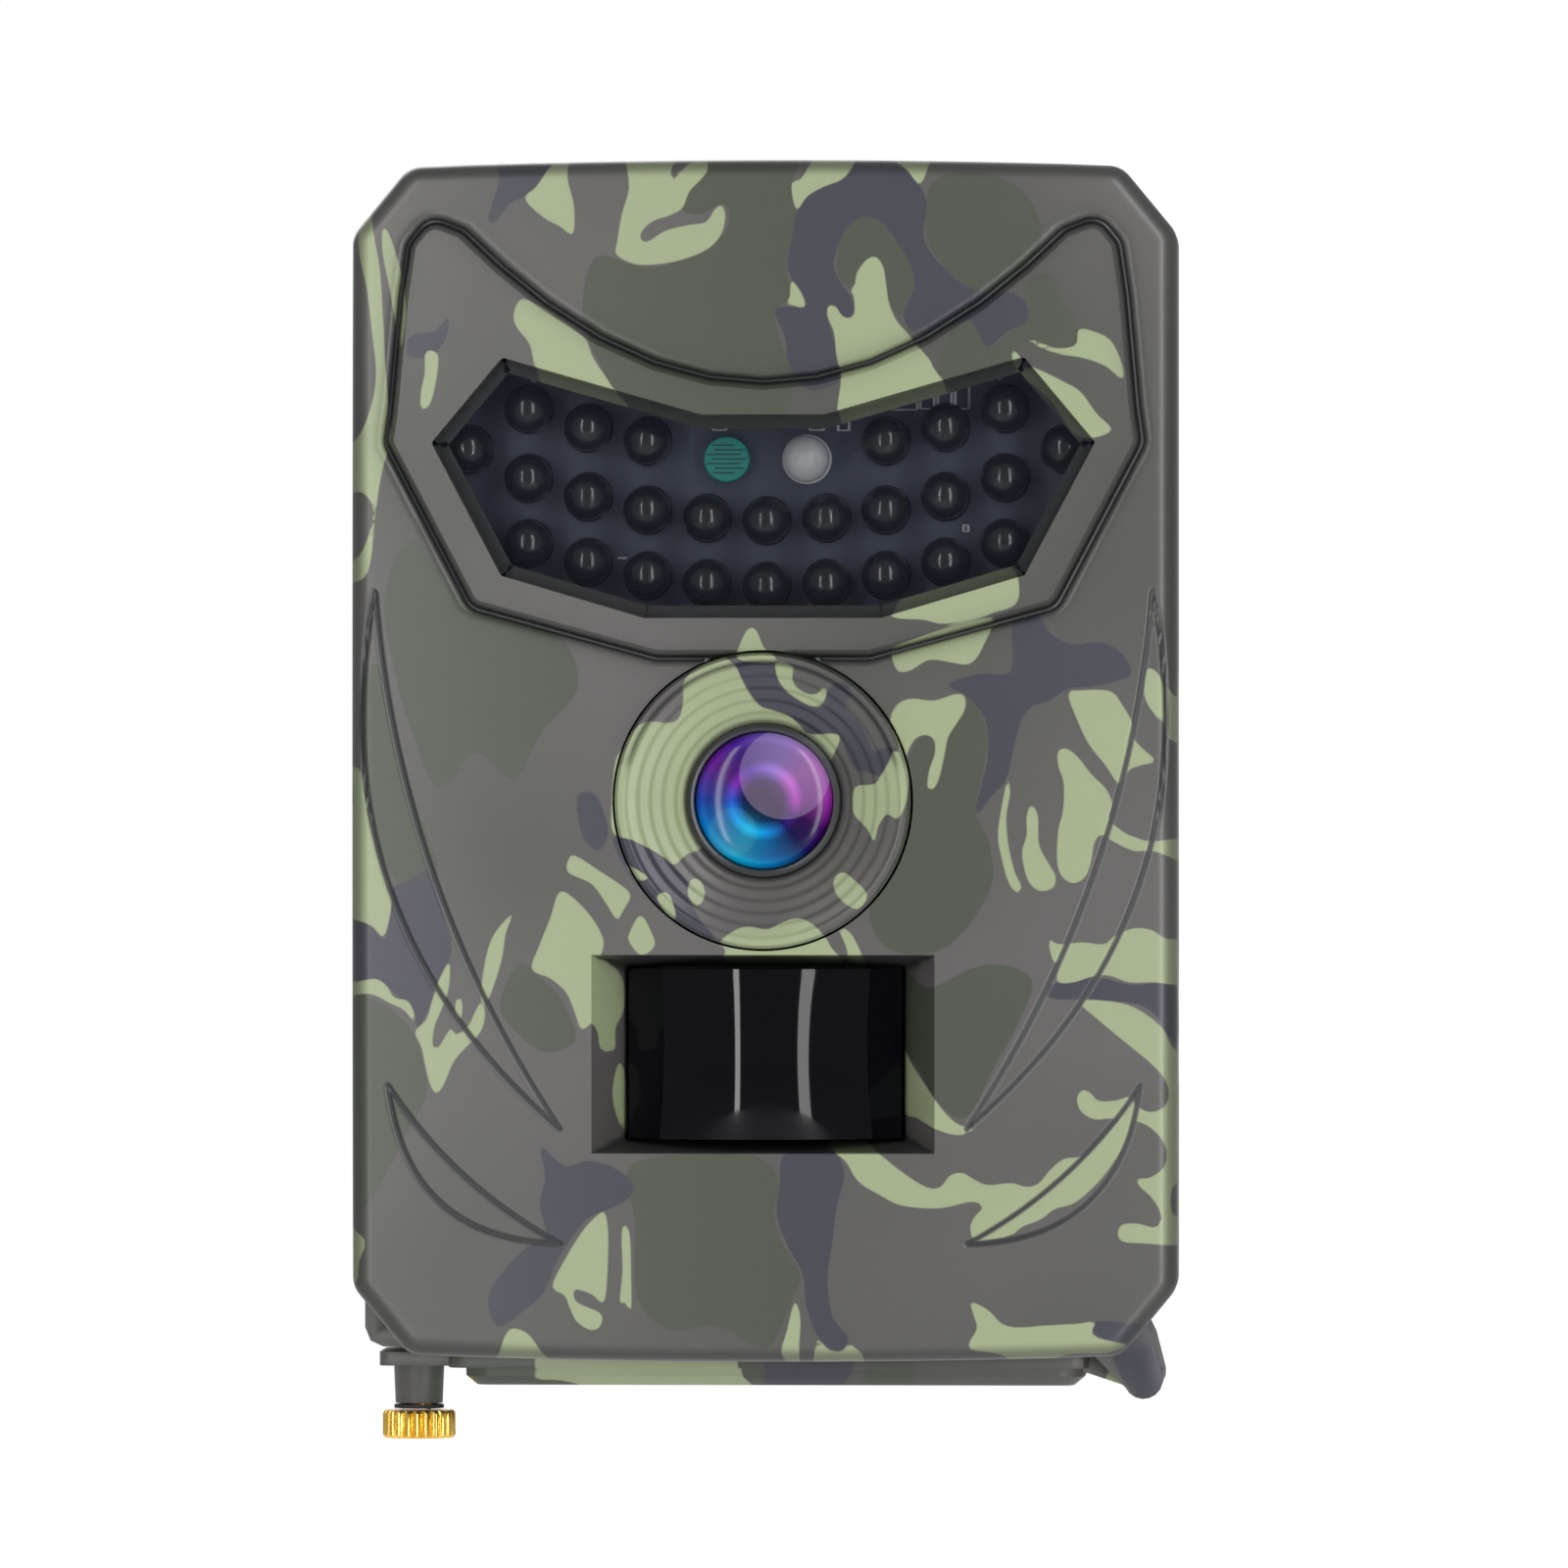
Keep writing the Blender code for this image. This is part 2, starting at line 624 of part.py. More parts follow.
def lamp_profile(radius, base, height):
    """A domed lamp that stands forward from base."""
    tip = base - height
    shoulder = (radius * 0.7, tip + radius * 0.28)
    return [(0, base), (radius, base), (radius, tip + radius * 0.9), shoulder, (0, tip)]


def led_group():
    lo, hi = LED_BOARD_Y
    outline = offset(window_outline(), 1.2)
    board = prism(outline, lo, hi)
    for place in led_places():
        join(board, turned(lamp_profile(LED_R, lo + 0.2, 7.0), place, steps=8))
    finish(board, "led_board", "board")
    x, z = SENSOR_PAIR
    disc = [(0, lo - 0.3), (2.55, lo - 0.3), (2.55, lo - 2.4), (0, lo - 2.4)]
    finish(turned(disc, (-x, z), steps=16), "photoresistor", "sensor_teal")
    finish(turned(lamp_profile(LED_R, lo - 0.3, 6.6), (x, z), steps=16), "status_led", "cell_clear")
    path = [(hi + 0.3, 17.0), (hi + 1.2, 16.4), (hi + 1.6, 14.0), (hi + 1.7, 11.0), (BOARD_Y[0] - 0.9, 8.0),
            (BOARD_Y[0] - 0.5, 5.0)]
    strip = path + [(y + 0.3, z - 0.05) for y, z in reversed(path)]
    finish(prism(strip, -24.0, -14.0, "x"), "led_ribbon", "ribbon")


# ---------------------------------------------------------------- electronics

def main_board():
    half = BOARD_HALF_X
    outline = rectangle(-half, half, BOARD_Z[0], BOARD_Z[1], 2.0)
    finish(prism(outline, *BOARD_Y), "main_board", "board")
    back = BOARD_Y[1] + GAP
    usb = prism(rounded([(14.4, back), (22.0, back), (22.0, back + 2.0), (20.9, back + 2.8), (15.5, back + 2.8),
                         (14.4, back + 2.0)], 0.3, 1), -61.5, -52.3, "z")
    tongue = prism(rectangle(15.2, 21.2, back + 0.6, back + 2.1), -62.0, -54.5, "z")
    finish(cut(usb, tongue), "usb_socket", "steel")
    slot = block((-8.0, 8.0), (back, back + 2.0), (-61.0, -46.0))
    cut(slot, block((-5.9, 5.9), (back + 0.5, back + 1.6), (-62.0, -47.0)))
    finish(slot, "card_slot", "steel")
    axis = marker("card_slide", (0, back + 1.05, -61.0))
    card = block((-5.5, 5.5), (back + 0.7, back + 1.4), (-61.6, -47.4))
    finish(card, "memory_card", "black_plastic", (0, back + 1.05, -61.0), axis)
    add_mode_switch(back)
    mic_back, mic_front = BOARD_Y[0] - 0.3, BOARD_Y[0] - 3.0
    mic_profile = [(0, mic_back), (3.0, mic_back), (3.0, mic_front), (0, mic_front)]
    mic = turned(mic_profile, (-26.0, -54.0), steps=14)
    finish(mic, "microphone", "steel")


def add_mode_switch(back):
    """A three-position slide switch; its knob travels 4 mm along x."""
    body = block((-25.5, -13.5), (back, back + 3.6), (-60.3, -55.0))
    cut(body, block((-23.7, -15.3), (back + 1.0, back + 2.6), (-61.0, -57.0)))
    finish(body, "mode_switch_body", "steel")
    axis = marker("mode_slide", (-21.7, back + 1.8, -60.0))
    knob = block((-23.3, -20.1), (back + 1.2, back + 2.4), (-62.1, -57.4))
    finish(knob, "mode_switch_knob", "black_plastic", (-21.7, back + 1.8, -60.0), axis)


def control_panel():
    """The strip between the battery box and the front wall, with openings for the connectors."""
    back = BOARD_Y[1] + GAP
    panel = block((-32.0, 32.0), (-31.2, -27.0), (-61.3, -60.4))
    cut(panel, block((14.0, 22.4), (-32.0, back + 3.0), (-63.0, -59.0)))
    cut(panel, block((-8.5, 8.5), (-32.0, back + 2.5), (-63.0, -59.0)))
    cut(panel, block((-24.2, -14.8), (-30.9, back + 2.9), (-63.0, -59.0)))
    finish(panel, "control_panel", "black_plastic")


# ---------------------------------------------------------------- batteries

def cell_x(index):
    return (index - 1.5) * CELL_PITCH


def battery_box():
    box = block((-BOX_HALF_X, BOX_HALF_X), BOX_Y, BOX_Z)
    for index in range(4):
        cut(box, rod(CELL_R + 0.3, BOX_Z[0] - 1.0, BOX_Z[1] - 1.5, (cell_x(index), CELL_Y), "z", 16))
    finish(box, "battery_box", "black_plastic")


def cells():
    """Four AA cells; every other one stands on its head."""
    for index in range(4):
        up = index % 2 == 0
        r, length = CELL_R, CELL_LENGTH
        profile = [(0, 0), (4.4, 0), (4.6, 0.3), (r, 0.3), (r, length - 1.4), (2.75, length - 1.2),
                   (2.7, length), (0, length)]
        levels = [(radius, CELL_BOTTOM + (h if up else length - h)) for radius, h in profile]
        finish(turned(levels, (cell_x(index), CELL_Y), "z", 16), f"cell_{index + 1}", "cell")


def conical_spring(base, tip, centre, name, parent=None):
    """A battery spring that narrows from its base to its tip, with flat end turns."""
    turns, per_turn, wire = 3.0, 7, 0.35
    count = int(turns * per_turn)
    inward = wire if tip > base else -wire
    points = []
    for k in range(count + 1):
        t = k / count
        angle = math.tau * turns * t
        radius = 4.2 - 1.6 * t
        rise = base + inward + (tip - base - 2 * inward) * min(1.0, max(0.0, (t - 0.15) / 0.75))
        points.append((centre[0] + radius * math.cos(angle), centre[1] + radius * math.sin(angle), rise))
    return finish(tube_along(points, wire, 4, name), name, "steel", (*centre, base), parent)


def top_contacts():
    """Two end plates and a bridge under the box's roof; the flat poles stand on bent tabs."""
    roof = BOX_Z[1] - 1.5 - 0.3
    plate = 0.4
    spans = {"contact_positive": (0, 0), "contact_bridge_top": (1, 2), "contact_negative": (3, 3)}
    cell_top = CELL_BOTTOM + CELL_LENGTH
    for name, (first, last) in spans.items():
        contact = None
        for index in range(first, last + 1):
            x = cell_x(index)
            pad = prism(circle(4.9, 12, (x, CELL_Y)), roof - plate, roof, "z")
            contact = join(contact, pad) if contact else pad
            if index % 2 == 0:
                tab_y = (CELL_Y - 2.0, CELL_Y + 2.0)
                join(contact, block((x - 2.0, x + 2.0), tab_y, (cell_top + 0.3, roof - 0.1)))
            else:
                conical_spring(roof - plate - 0.1, cell_top + 0.2, (x, CELL_Y), f"spring_top_{index + 1}")
        finish(contact, name, "steel")


# The bridge crosses the wall between two bays, so the box's walls stop below it.
def open_box_roof():
    box = bpy.data.objects["battery_box"]
    lo, hi = cell_x(1), cell_x(2)
    cut(box, block((lo, hi), (CELL_Y - 2.6, CELL_Y + 2.6), (BOX_Z[1] - 2.8, BOX_Z[1] - 1.5)))


def open_bridge():
    """The strip that joins the two middle pads."""
    bridge = bpy.data.objects["contact_bridge_top"]
    roof = BOX_Z[1] - 1.5 - 0.3
    join(bridge, block((cell_x(1), cell_x(2)), (CELL_Y - 2.0, CELL_Y + 2.0), (roof - 0.4, roof)))


# ---------------------------------------------------------------- door

def battery_door():
    axis = marker("door_hinge", (HINGE[0], -21.4, HINGE[1]))
    origin = (HINGE[0], -21.4, HINGE[1])
    top = DOOR_TOP
    plate_bottom = top - 1.6
    door = prism(rectangle(-35.2, 34.8, -32.3, -10.4, 2.0), plate_bottom, top, "z")
    bulge = rectangle(-33.4, 34.4, -31.6, -11.2, 3.0, 3)
    tub = [(offset(bulge, -1.2), DOOR_BOTTOM), (bulge, DOOR_BOTTOM + 1.0), (bulge, plate_bottom + 0.5)]
    join(door, loft(tub, "z"))
    lip = rectangle(-33.0, 32.8, -29.2, -12.3, 2.0)
    join(door, prism(lip, top - 0.5, -62.6, "z"))
    cut(door, prism(offset(lip, -1.2), DOOR_BOTTOM + 1.6, -60.0, "z"))
    tongue = rectangle(-43.1, -34.0, SCREW[1] - 6.0, SCREW[1] + 6.0, 1.2)
    join(door, prism(tongue, plate_bottom, top, "z"))
    join(door, loft([(circle(2.6, 20, SCREW), -70.6), (circle(2.8, 20, SCREW), plate_bottom + 0.5)], "z"))
    cut(door, rod(1.75, -72.0, -60.0, SCREW, "z"))
    arm = [(34.0, top - 0.05), (34.0, -66.6), (37.9, -67.9)]
    eye = [(HINGE[0] + 1.75 * math.cos(a), HINGE[1] + 1.75 * math.sin(a))
           for a in [math.radians(215 + 250 * k / 8) for k in range(9)]]
    join(door, prism(arm + eye + [(37.6, top - 0.35)], -29.9, -12.9))
    cut(door, rod(HINGE_PIN_R + 0.12, -33.0, -9.0, HINGE, steps=12))
    for index in (1, 3):
        x = cell_x(index)
        stop = (DOOR_BOTTOM + 1.0, CELL_BOTTOM - 1.1)
        join(door, block((x - 2.5, x + 2.5), (CELL_Y - 2.5, CELL_Y + 2.5), stop))
    finish(door, "battery_door", "camo", origin, axis)
    add_door_fittings(axis, lip)
    return axis


def add_door_fittings(axis, lip):
    """Seal, and for each pair of cells a bridge with a spring under one and a raised tab under the other."""
    seal = band(offset(lip, 1.0), offset(lip, 0.15), DOOR_TOP + 0.1, DOOR_TOP + 1.5, "z")
    finish(seal, "door_seal", "rubber", None, axis)
    floor = DOOR_BOTTOM + 1.6 + 0.25
    tab_top = CELL_BOTTOM - 0.3
    for pair, index in ((1, 0), (2, 2)):
        spring_x, tab_x = cell_x(index), cell_x(index + 1)
        bridge = prism(circle(4.9, 12, (spring_x, CELL_Y)), floor, floor + 0.4, "z")
        join(bridge, block((spring_x, tab_x - 2.9), (CELL_Y - 2.2, CELL_Y + 2.2), (floor, floor + 0.4)))
        join(bridge, block((tab_x - 3.2, tab_x - 2.8), (CELL_Y - 2.2, CELL_Y + 2.2), (floor, tab_top)))
        join(bridge, block((tab_x - 3.2, tab_x + 2.4), (CELL_Y - 2.2, CELL_Y + 2.2), (tab_top - 0.5, tab_top)))
        finish(bridge, f"contact_bridge_door_{pair}", "steel", None, axis)
        conical_spring(floor + 0.5, CELL_BOTTOM - 0.2, (spring_x, CELL_Y), f"spring_door_{pair}", axis)


def hinge_pin():
    pin = rod(HINGE_PIN_R, -31.6, -10.4, HINGE, steps=12)
    finish(pin, "door_hinge_pin", "steel")


def thumbscrew(door_axis):
    """A slotted, knurled brass screw with a rubber washer under its head, and the insert it screws into."""
    top = -70.9
    travel = marker("thumbscrew_travel", (*SCREW, top), door_axis)
    spin = marker("thumbscrew_spin", (*SCREW, top), travel)
    knurl = []
    for k in range(KNURL_COUNT):
        for part, radius in ((0.0, 3.75), (0.3, 4.0), (0.7, 4.0)):
            a = math.tau * (k + part) / KNURL_COUNT
            knurl.append((SCREW[0] + radius * math.cos(a), SCREW[1] + radius * math.sin(a)))
    end, back = scaled(knurl, 0.93), scaled(knurl, 0.94)
    head = loft([(end, top - 3.55), (knurl, top - 3.2), (knurl, top - 0.75), (back, top - 0.4)], "z")
    shank = [(0, top - 1.0), (1.9, top - 1.0), (1.9, top + 0.1), (SCREW_SHANK_R, top + 0.1),
             (SCREW_SHANK_R, -60.2), (0.9, -59.4), (0, -59.4)]
    join(head, turned(shank, SCREW, "z", 14))
    slot_x, slot_y = (SCREW[0] - 5.0, SCREW[0] + 5.0), (SCREW[1] - 0.5, SCREW[1] + 0.5)
    cut(head, block(slot_x, slot_y, (top - 5.0, top - 2.7)))
    finish(head, "thumbscrew", "brass", (*SCREW, top), spin)
    ring = [(2.05, top - 0.25), (2.75, top - 0.25), (2.75, top + 0.15), (2.05, top + 0.15)]
    washer = turned(ring, SCREW, "z", 16)
    finish(washer, "thumbscrew_washer", "rubber", (*SCREW, top), travel)
    insert = turned([(1.95, -64.3), (2.25, -64.3), (2.25, -57.9), (1.95, -57.9)], SCREW, "z", 16)
    finish(insert, "thumbscrew_insert", "brass")


def scaled(outline, factor):
    """The knurled outline shrunk towards the screw's axis."""
    return [(SCREW[0] + (x - SCREW[0]) * factor, SCREW[1] + (y - SCREW[1]) * factor) for x, y in outline]


def tripod_insert():
    bush = turned([(TRIPOD_R, -9.3), (4.1, -9.3), (4.1, -3.2), (TRIPOD_R, -3.2)], (0, TRIPOD_Z), steps=20)
    finish(bush, "tripod_insert", "brass")


def main():
    for obj in list(bpy.data.objects):
        bpy.data.objects.remove(obj)
    front_cover()
    rear_shell()
    case_seal()
    case_screws()
    led_window()
    lens_group()
    pir_group()
    led_group()
    main_board()
    control_panel()
    battery_box()
    open_box_roof()
    cells()
    top_contacts()
    open_bridge()
    door_axis = battery_door()
    hinge_pin()
    thumbscrew(door_axis)
    tripod_insert()


main()
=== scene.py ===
"""Visual pieces, materials, light and view for the trail camera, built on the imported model's frame.

Drawn in millimetres and stored in metres. The trail camera faces -Y, and +Z is up.
"""

import math

import bmesh
import bpy
import numpy as np
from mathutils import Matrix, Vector, geometry


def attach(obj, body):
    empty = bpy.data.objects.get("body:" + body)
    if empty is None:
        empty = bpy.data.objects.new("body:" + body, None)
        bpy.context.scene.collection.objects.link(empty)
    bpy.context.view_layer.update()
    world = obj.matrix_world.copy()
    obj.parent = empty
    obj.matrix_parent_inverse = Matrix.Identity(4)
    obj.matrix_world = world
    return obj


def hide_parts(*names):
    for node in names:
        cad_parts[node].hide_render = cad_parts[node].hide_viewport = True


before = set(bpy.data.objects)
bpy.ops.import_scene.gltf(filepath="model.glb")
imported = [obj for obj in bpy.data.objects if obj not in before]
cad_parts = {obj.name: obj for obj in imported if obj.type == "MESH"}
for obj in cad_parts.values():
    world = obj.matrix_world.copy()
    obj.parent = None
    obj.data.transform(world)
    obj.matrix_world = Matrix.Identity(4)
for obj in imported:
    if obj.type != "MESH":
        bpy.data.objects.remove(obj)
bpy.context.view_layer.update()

MM = 0.001

# Housing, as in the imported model.
HALF_WIDTH = 44.7
CORNER_Z = 57.0
CHAMFER_X = 38.6
EDGE_Z = 64.4
ARCH = 0.6
SEAM_Y = -33.15
FACE_Y = -49.0
CROWN_X = 2.2
CROWN_Z = 1.4
EDGE_ROUND = 2.0
WALL = 2.2

# Raised mask, its groove, and the grooves of the claw-shaped panels.
PLATEAU_RISE = 1.0
RAMP = 0.9
GROOVE_AT = 1.05
GROOVE_HALF = 0.65
GROOVE_DEPTH = 0.55
# Where the mask's groove line runs beside the mask. The material paints it near black as painted shade.
MASK_LINE = 0.95
# For each claw: its two ends, then how far its outer and its inner edge bulge.
CLAWS = (
    ((-42.1, 18.3), (-22.0, -39.8), 9.0, 4.0),
    ((-40.7, -35.2), (-22.0, -52.2), 5.5, 1.6),
)

LENS_Z = -4.3
BEZEL_R = 16.0
DISH_FOOT = 8.4
GLASS_R = 7.5
PIR_Z = -31.7
PIR_HALF = (15.05, 9.45)
PIR_RECESS_HALF = (18.55, 10.75)
PIR_FLOOR_Y = -41.5

WINDOW_FRONT_Y = -47.6
LED_PITCH = 6.48
LED_RISE = 0.291
LED_ROWS = ((33.6, (2, 3, 4)), (26.1, (0, 1, 2, 3, 4)), (19.0, (0, 1, 2, 3, 4)))
LED_TIP = (5 * LED_PITCH, 33.9)
SENSOR_PAIR = (4.35, 32.8)
LED_BOARD_FRONT = -37.3
PRINT_WIDTH = 0.14
LAMP_R = 2.5

SCREW = (-39.1, -21.0)

GRID = 0.45
EDGE_STEPS = 8
SIDE_STEPS = 24
ROOM_LIGHT = 0.48
CAMERA_DISTANCE = 1.5
CAMERA_AZIMUTH = 2.5
CAMERA_AIM = (2.1, -44.0, -2.5)
CAMERA_LENS = 318

# ---------------------------------------------------------------- camouflage on the front
# Each patch lists x and z in turn, in millimetres, for the points of a smooth closed curve.

SAGE = (
    (-43.9, 57.5, -42.7, 59.3, -42.3, 57, -41.6, 53, -41.2, 47, -41, 43, -40.6, 38, -40.4, 35, -41.4,
     31, -42, 27, -42.6, 21.5, -43.6, 19.6, -46, 19.5, -46, 21.5, -44, 22, -42.7, 24.6, -42.3, 27.4,
     -43.6, 29.1, -46, 29, -46, 33, -43.8, 35.3, -42.5, 38.5, -42, 42, -42.4, 46, -43, 51, -43.9, 55),
    (-41.3, 57.5, -40.6, 57, -39.6, 54, -38.9, 51, -38.7, 48, -39.3, 44.7, -39.9, 47.5, -40.6, 51.5,
     -41.3, 55),
    (-36.5, 44.2, -35.2, 43.9, -35.4, 41, -36.1, 38.5, -37, 38.2, -37, 40, -36.6, 42),
    (-21.2, 66, -21.2, 63, -20.5, 60, -20.6, 57, -22, 57.8, -23.8, 58.8, -25.8, 60.8, -24.5, 62.2,
     -22.6, 65),
    (-14.5, 66, -14.5, 62, -15.3, 59, -15.8, 56, -15.9, 54.8, -14.5, 53.9, -12.5, 53.6, -9, 54.1, -6,
     55.3, -4.5, 57, -4.1, 59, -4.5, 60, -5.2, 59.6, -6.2, 58.2, -8, 57.9, -10.5, 57.3, -12.3, 56.2,
     -13.1, 56.2, -13.2, 57.1, -12, 58.3, -10, 59, -8.7, 59.8, -8, 61.5, -6.6, 63, -6, 64, -6.4, 65.2,
     -8, 64.6, -9.8, 62.8, -9.9, 64.2, -9, 66),
    (-26.8, 48.9, -26, 49.9, -24.5, 49.3, -22.5, 48, -20, 46.3, -19, 45.3, -18.3, 43.5, -16.4, 40.6,
     -15, 38, -23, 39.5, -24.6, 42.6, -25.2, 45, -26.8, 47.2),
    (3.1, 62.3, 4.2, 63, 6.3, 66, 9.9, 66, 9.6, 64.2, 8.5, 62.8, 6.5, 62, 4.8, 61, 3.6, 59.6),
    (13.6, 65.6, 15.5, 63.9, 16.9, 62.3, 17.8, 64.2, 18, 66),
    (3.1, 51.8, 2.9, 50, 2.4, 49.5, 3.2, 49.2, 4.5, 49, 4.2, 50.4),
    (12.2, 54.4, 13, 53.3, 13.3, 51.5, 13.6, 49.5, 14.4, 47.6, 15.6, 46.2, 16.6, 44.9, 17.6, 43.8, 18.4,
     42.5, 19.4, 39, 9, 36, 8.5, 41.5, 8, 43.5, 7.7, 46.2, 7, 48, 7.1, 49.1, 7.9, 49, 8.5, 48.1, 9.3,
     47.8, 9.9, 48.4, 9.8, 50.2, 9.4, 50.9, 9.9, 51.3, 10.2, 52.8, 11.2, 54.1),
    (28.5, 45.6, 30.5, 44.9, 32, 44.5, 33.8, 44.9, 34.1, 46.5, 35.5, 46.4, 37.5, 45.4, 38.7, 43, 38.8,
     41.2, 37, 42.6, 34.5, 43.5, 32, 43.9, 29.8, 44.7),
    (27, 44.3, 28.6, 42.8, 30.5, 41.9, 32.5, 40.9, 34.3, 39.8, 36, 37.5, 37.6, 35.6, 34, 35, 31, 39,
     27.5, 42),
    (-45.5, -1, -43.8, -0.9, -43.2, -3.5, -42.5, -6.5, -42, -9, -40.6, -13, -40.3, -15, -40.5, -17,
     -41.2, -19, -42.5, -17.8, -46, -15.5, -46, -5.5, -44.6, -5, -44.6, -2.5),
    (-27, -16.5, -27.8, -18.5, -28.3, -21.5, -29.4, -25, -30.3, -26.4, -30.5, -24.5, -29.8, -20.5,
     -28.8, -18.3),
    (-34.1, -21.9, -35, -23.5, -35.8, -25.8, -36.5, -28, -37.7, -29.3, -37, -31, -36.6, -33, -36, -35.2,
     -35.3, -35.9, -34.5, -34.8, -33.5, -32.5, -32, -30.8, -30.6, -29.3, -30.1, -27.5, -30.4, -26,
     -31.2, -27.2, -31.8, -28.5, -32.5, -29.2, -33.2, -29.6, -33.8, -29, -34.3, -29.6, -35.2, -31,
     -35.8, -30.7, -35.6, -28.7, -34.8, -26.8, -34.1, -24.8, -33.9, -22.8),
    (-33.2, -25.8, -32.6, -26, -32.7, -27.8, -33.3, -27.4),
    (-46, -24, -44, -23.9, -42, -23.6, -40.8, -24.4, -40, -25.6, -38.5, -26, -37.8, -27.4, -37.9, -28.1,
     -39, -26.9, -40.5, -26.2, -42, -25.4, -43.5, -25.2, -46, -25.7),
    (-20.8, -10.3, -19.8, -10.5, -17.5, -12, -15.5, -13.3, -14.3, -14.5, -15, -16, -15.8, -17.1, -16.8,
     -15.6, -18.5, -13.3, -21.1, -12),
    (-22, -14.2, -20.4, -14.9, -18.3, -17.2, -17.2, -19.5, -17.5, -21.2, -16.5, -22, -15.4, -24, -15.4,
     -27, -16.2, -29, -16.3, -31.2, -17.6, -31.3, -17.9, -29.5, -18.4, -28.3, -19.6, -29, -20.4, -27,
     -21.3, -25, -23, -23.5, -25, -22.5, -24.2, -20, -23, -17),
    (-13.2, -16.7, -12, -18.6, -11.7, -20, -13.1, -21, -14.4, -19.6, -14.4, -18.6),
    (-15.9, -32.8, -15.2, -34.5, -15, -40.5, -15.9, -39, -16.5, -36),
    (-17.2, -48.8, -16.8, -50.5, -16.8, -54, -17.2, -58.4, -18.5, -57.7, -19.8, -57.2, -20.5, -57.3,
     -20.3, -58.4, -19, -59.1, -17.8, -59.6, -17.4, -60.3, -17.8, -61.3, -18.8, -61.5, -20.2, -60.6,
     -21, -59, -21.5, -57.8, -22.8, -56.8, -21.5, -54, -19.5, -50.8, -18, -49.2),
    (-14.8, -50.2, -14.4, -51.5, -14.3, -55, -14.3, -59.3, -15, -58.5, -15.5, -58.4, -15.2, -55, -15.3,
     -52, -15.2, -50.5),
    (-27, -61.4, -25.5, -62, -24.3, -63.6, -23, -66, -28.9, -66, -28.4, -63.4, -27.8, -61.9),
    (-46, -50.2, -44.2, -51, -43.2, -52.2, -43.9, -54.2, -44.3, -56.5, -46, -57),
    (7, -41.3, 7.8, -42.3, 9, -43.3, 10.3, -45.4, 12.5, -46.8, 15, -48, 19, -48.3, 22.5, -47.6, 23.7,
     -48.2, 22.9, -49.2, 22.4, -50.3, 22.8, -51.7, 24.5, -51.7, 26.8, -51.2, 28, -50.3, 30, -49.5, 31.5,
     -48.4, 33.5, -47.8, 35.5, -46.2, 37, -44.5, 38.5, -42.3, 39.5, -40.3, 39.8, -38.3, 38.6, -38.6,
     37.3, -40, 36, -41.4, 34.5, -42.7, 32.5, -43, 31, -44.2, 29.8, -45.6, 28.5, -46, 26.8, -45.6, 24.3,
     -45.8, 22.8, -45.2, 21.5, -44.5, 20.2, -44.8, 19.3, -45.9, 18.3, -46.2, 16.8, -45.6, 14.5, -44,
     12.5, -42.4, 10.5, -41.2),
    (34.2, -26, 36.8, -25.9, 39.5, -26.4, 41.5, -27.5, 43.2, -29, 44.2, -31, 46, -33, 46, -44, 44.2,
     -46, 44.2, -49, 46, -49.6, 46, -52.2, 41, -52.1, 38.8, -51.9, 38.3, -51, 38.8, -50.1, 40.5, -50,
     42.2, -50.4, 43, -49.7, 42.8, -48.5, 41.8, -47, 40.7, -46, 40.4, -45.2, 41.8, -45, 43.2, -44, 43.6,
     -42.5, 43, -40.8, 41.5, -39.4, 39.8, -38.8, 37.5, -38.6, 35.8, -38.7, 34.4, -37.9, 33.9, -36.6,
     34.4, -35.6, 35.3, -35.8, 36.2, -36.7, 38, -36.7, 39.6, -36.3, 40.2, -37.1, 41.5, -37.9, 43, -37.6,
     43.8, -36.4, 43.4, -34.4, 41.8, -32.6, 39.5, -30.7, 36.5, -28.2),
    (30.9, -19.4, 32, -19.8, 34.5, -19.6, 36.8, -19.8, 38, -18.9, 40, -18.1, 42, -18.3, 43.5, -19.2, 46,
     -19.7, 46, -23.9, 42, -23.9, 39.5, -23.9, 37.5, -23.2, 35.8, -23.2, 33.5, -23.9, 31.8, -23.8, 32,
     -22, 31.3, -21.5),
    (31.9, 1, 32.8, 1.3, 34, 0.4, 35.5, -1.5, 37, -3, 37.7, -4.6, 37.4, -6.3, 38.8, -7.6, 40, -8.2, 42,
     -8.7, 46, -8.5, 46, -11.2, 43.5, -10.2, 41.8, -9.7, 40, -9.7, 38, -8.8, 36.6, -8, 35.8, -8.8, 35.4,
     -11, 34.8, -12.5, 33.6, -13.2, 32.4, -12.6, 31.8, -11, 31.9, -7.5, 32.4, -5.5, 32.5, -2.5, 31.9,
     -0.5),
    (33, 7.2, 34.5, 7.6, 37.5, 7.5, 38.8, 6, 39.8, 4.2, 40, 2.5, 41, 1.3, 42.3, 0, 40.7, -0.5, 39.5, -1,
     38.9, -2.2, 38.2, -2.3, 37, -0.5, 35.2, 1.8, 34, 4.3),
    (43.3, 8.2, 44.4, 7, 46, 6.5, 46, 1.8, 44, 2.3, 43.4, 3, 43.3, 5),
    (41.4, 9.8, 42.5, 9.6, 43.2, 8, 43.2, 4.5, 42.3, 5, 41.2, 7),
    (29, -4.8, 29.7, -6, 29.8, -9, 30.8, -11, 31.6, -12.5, 31.3, -13.7, 29.8, -14, 28.6, -12.8, 28, -10,
     28.5, -8, 28.5, -6),
    (26.5, -2, 26.7, -3.5, 26.3, -6, 26.5, -9, 27.2, -12, 27.9, -13.5, 27.4, -14.2, 26.5, -13, 25.8,
     -10.5, 25.4, -8, 25.8, -5, 26.2, -3),
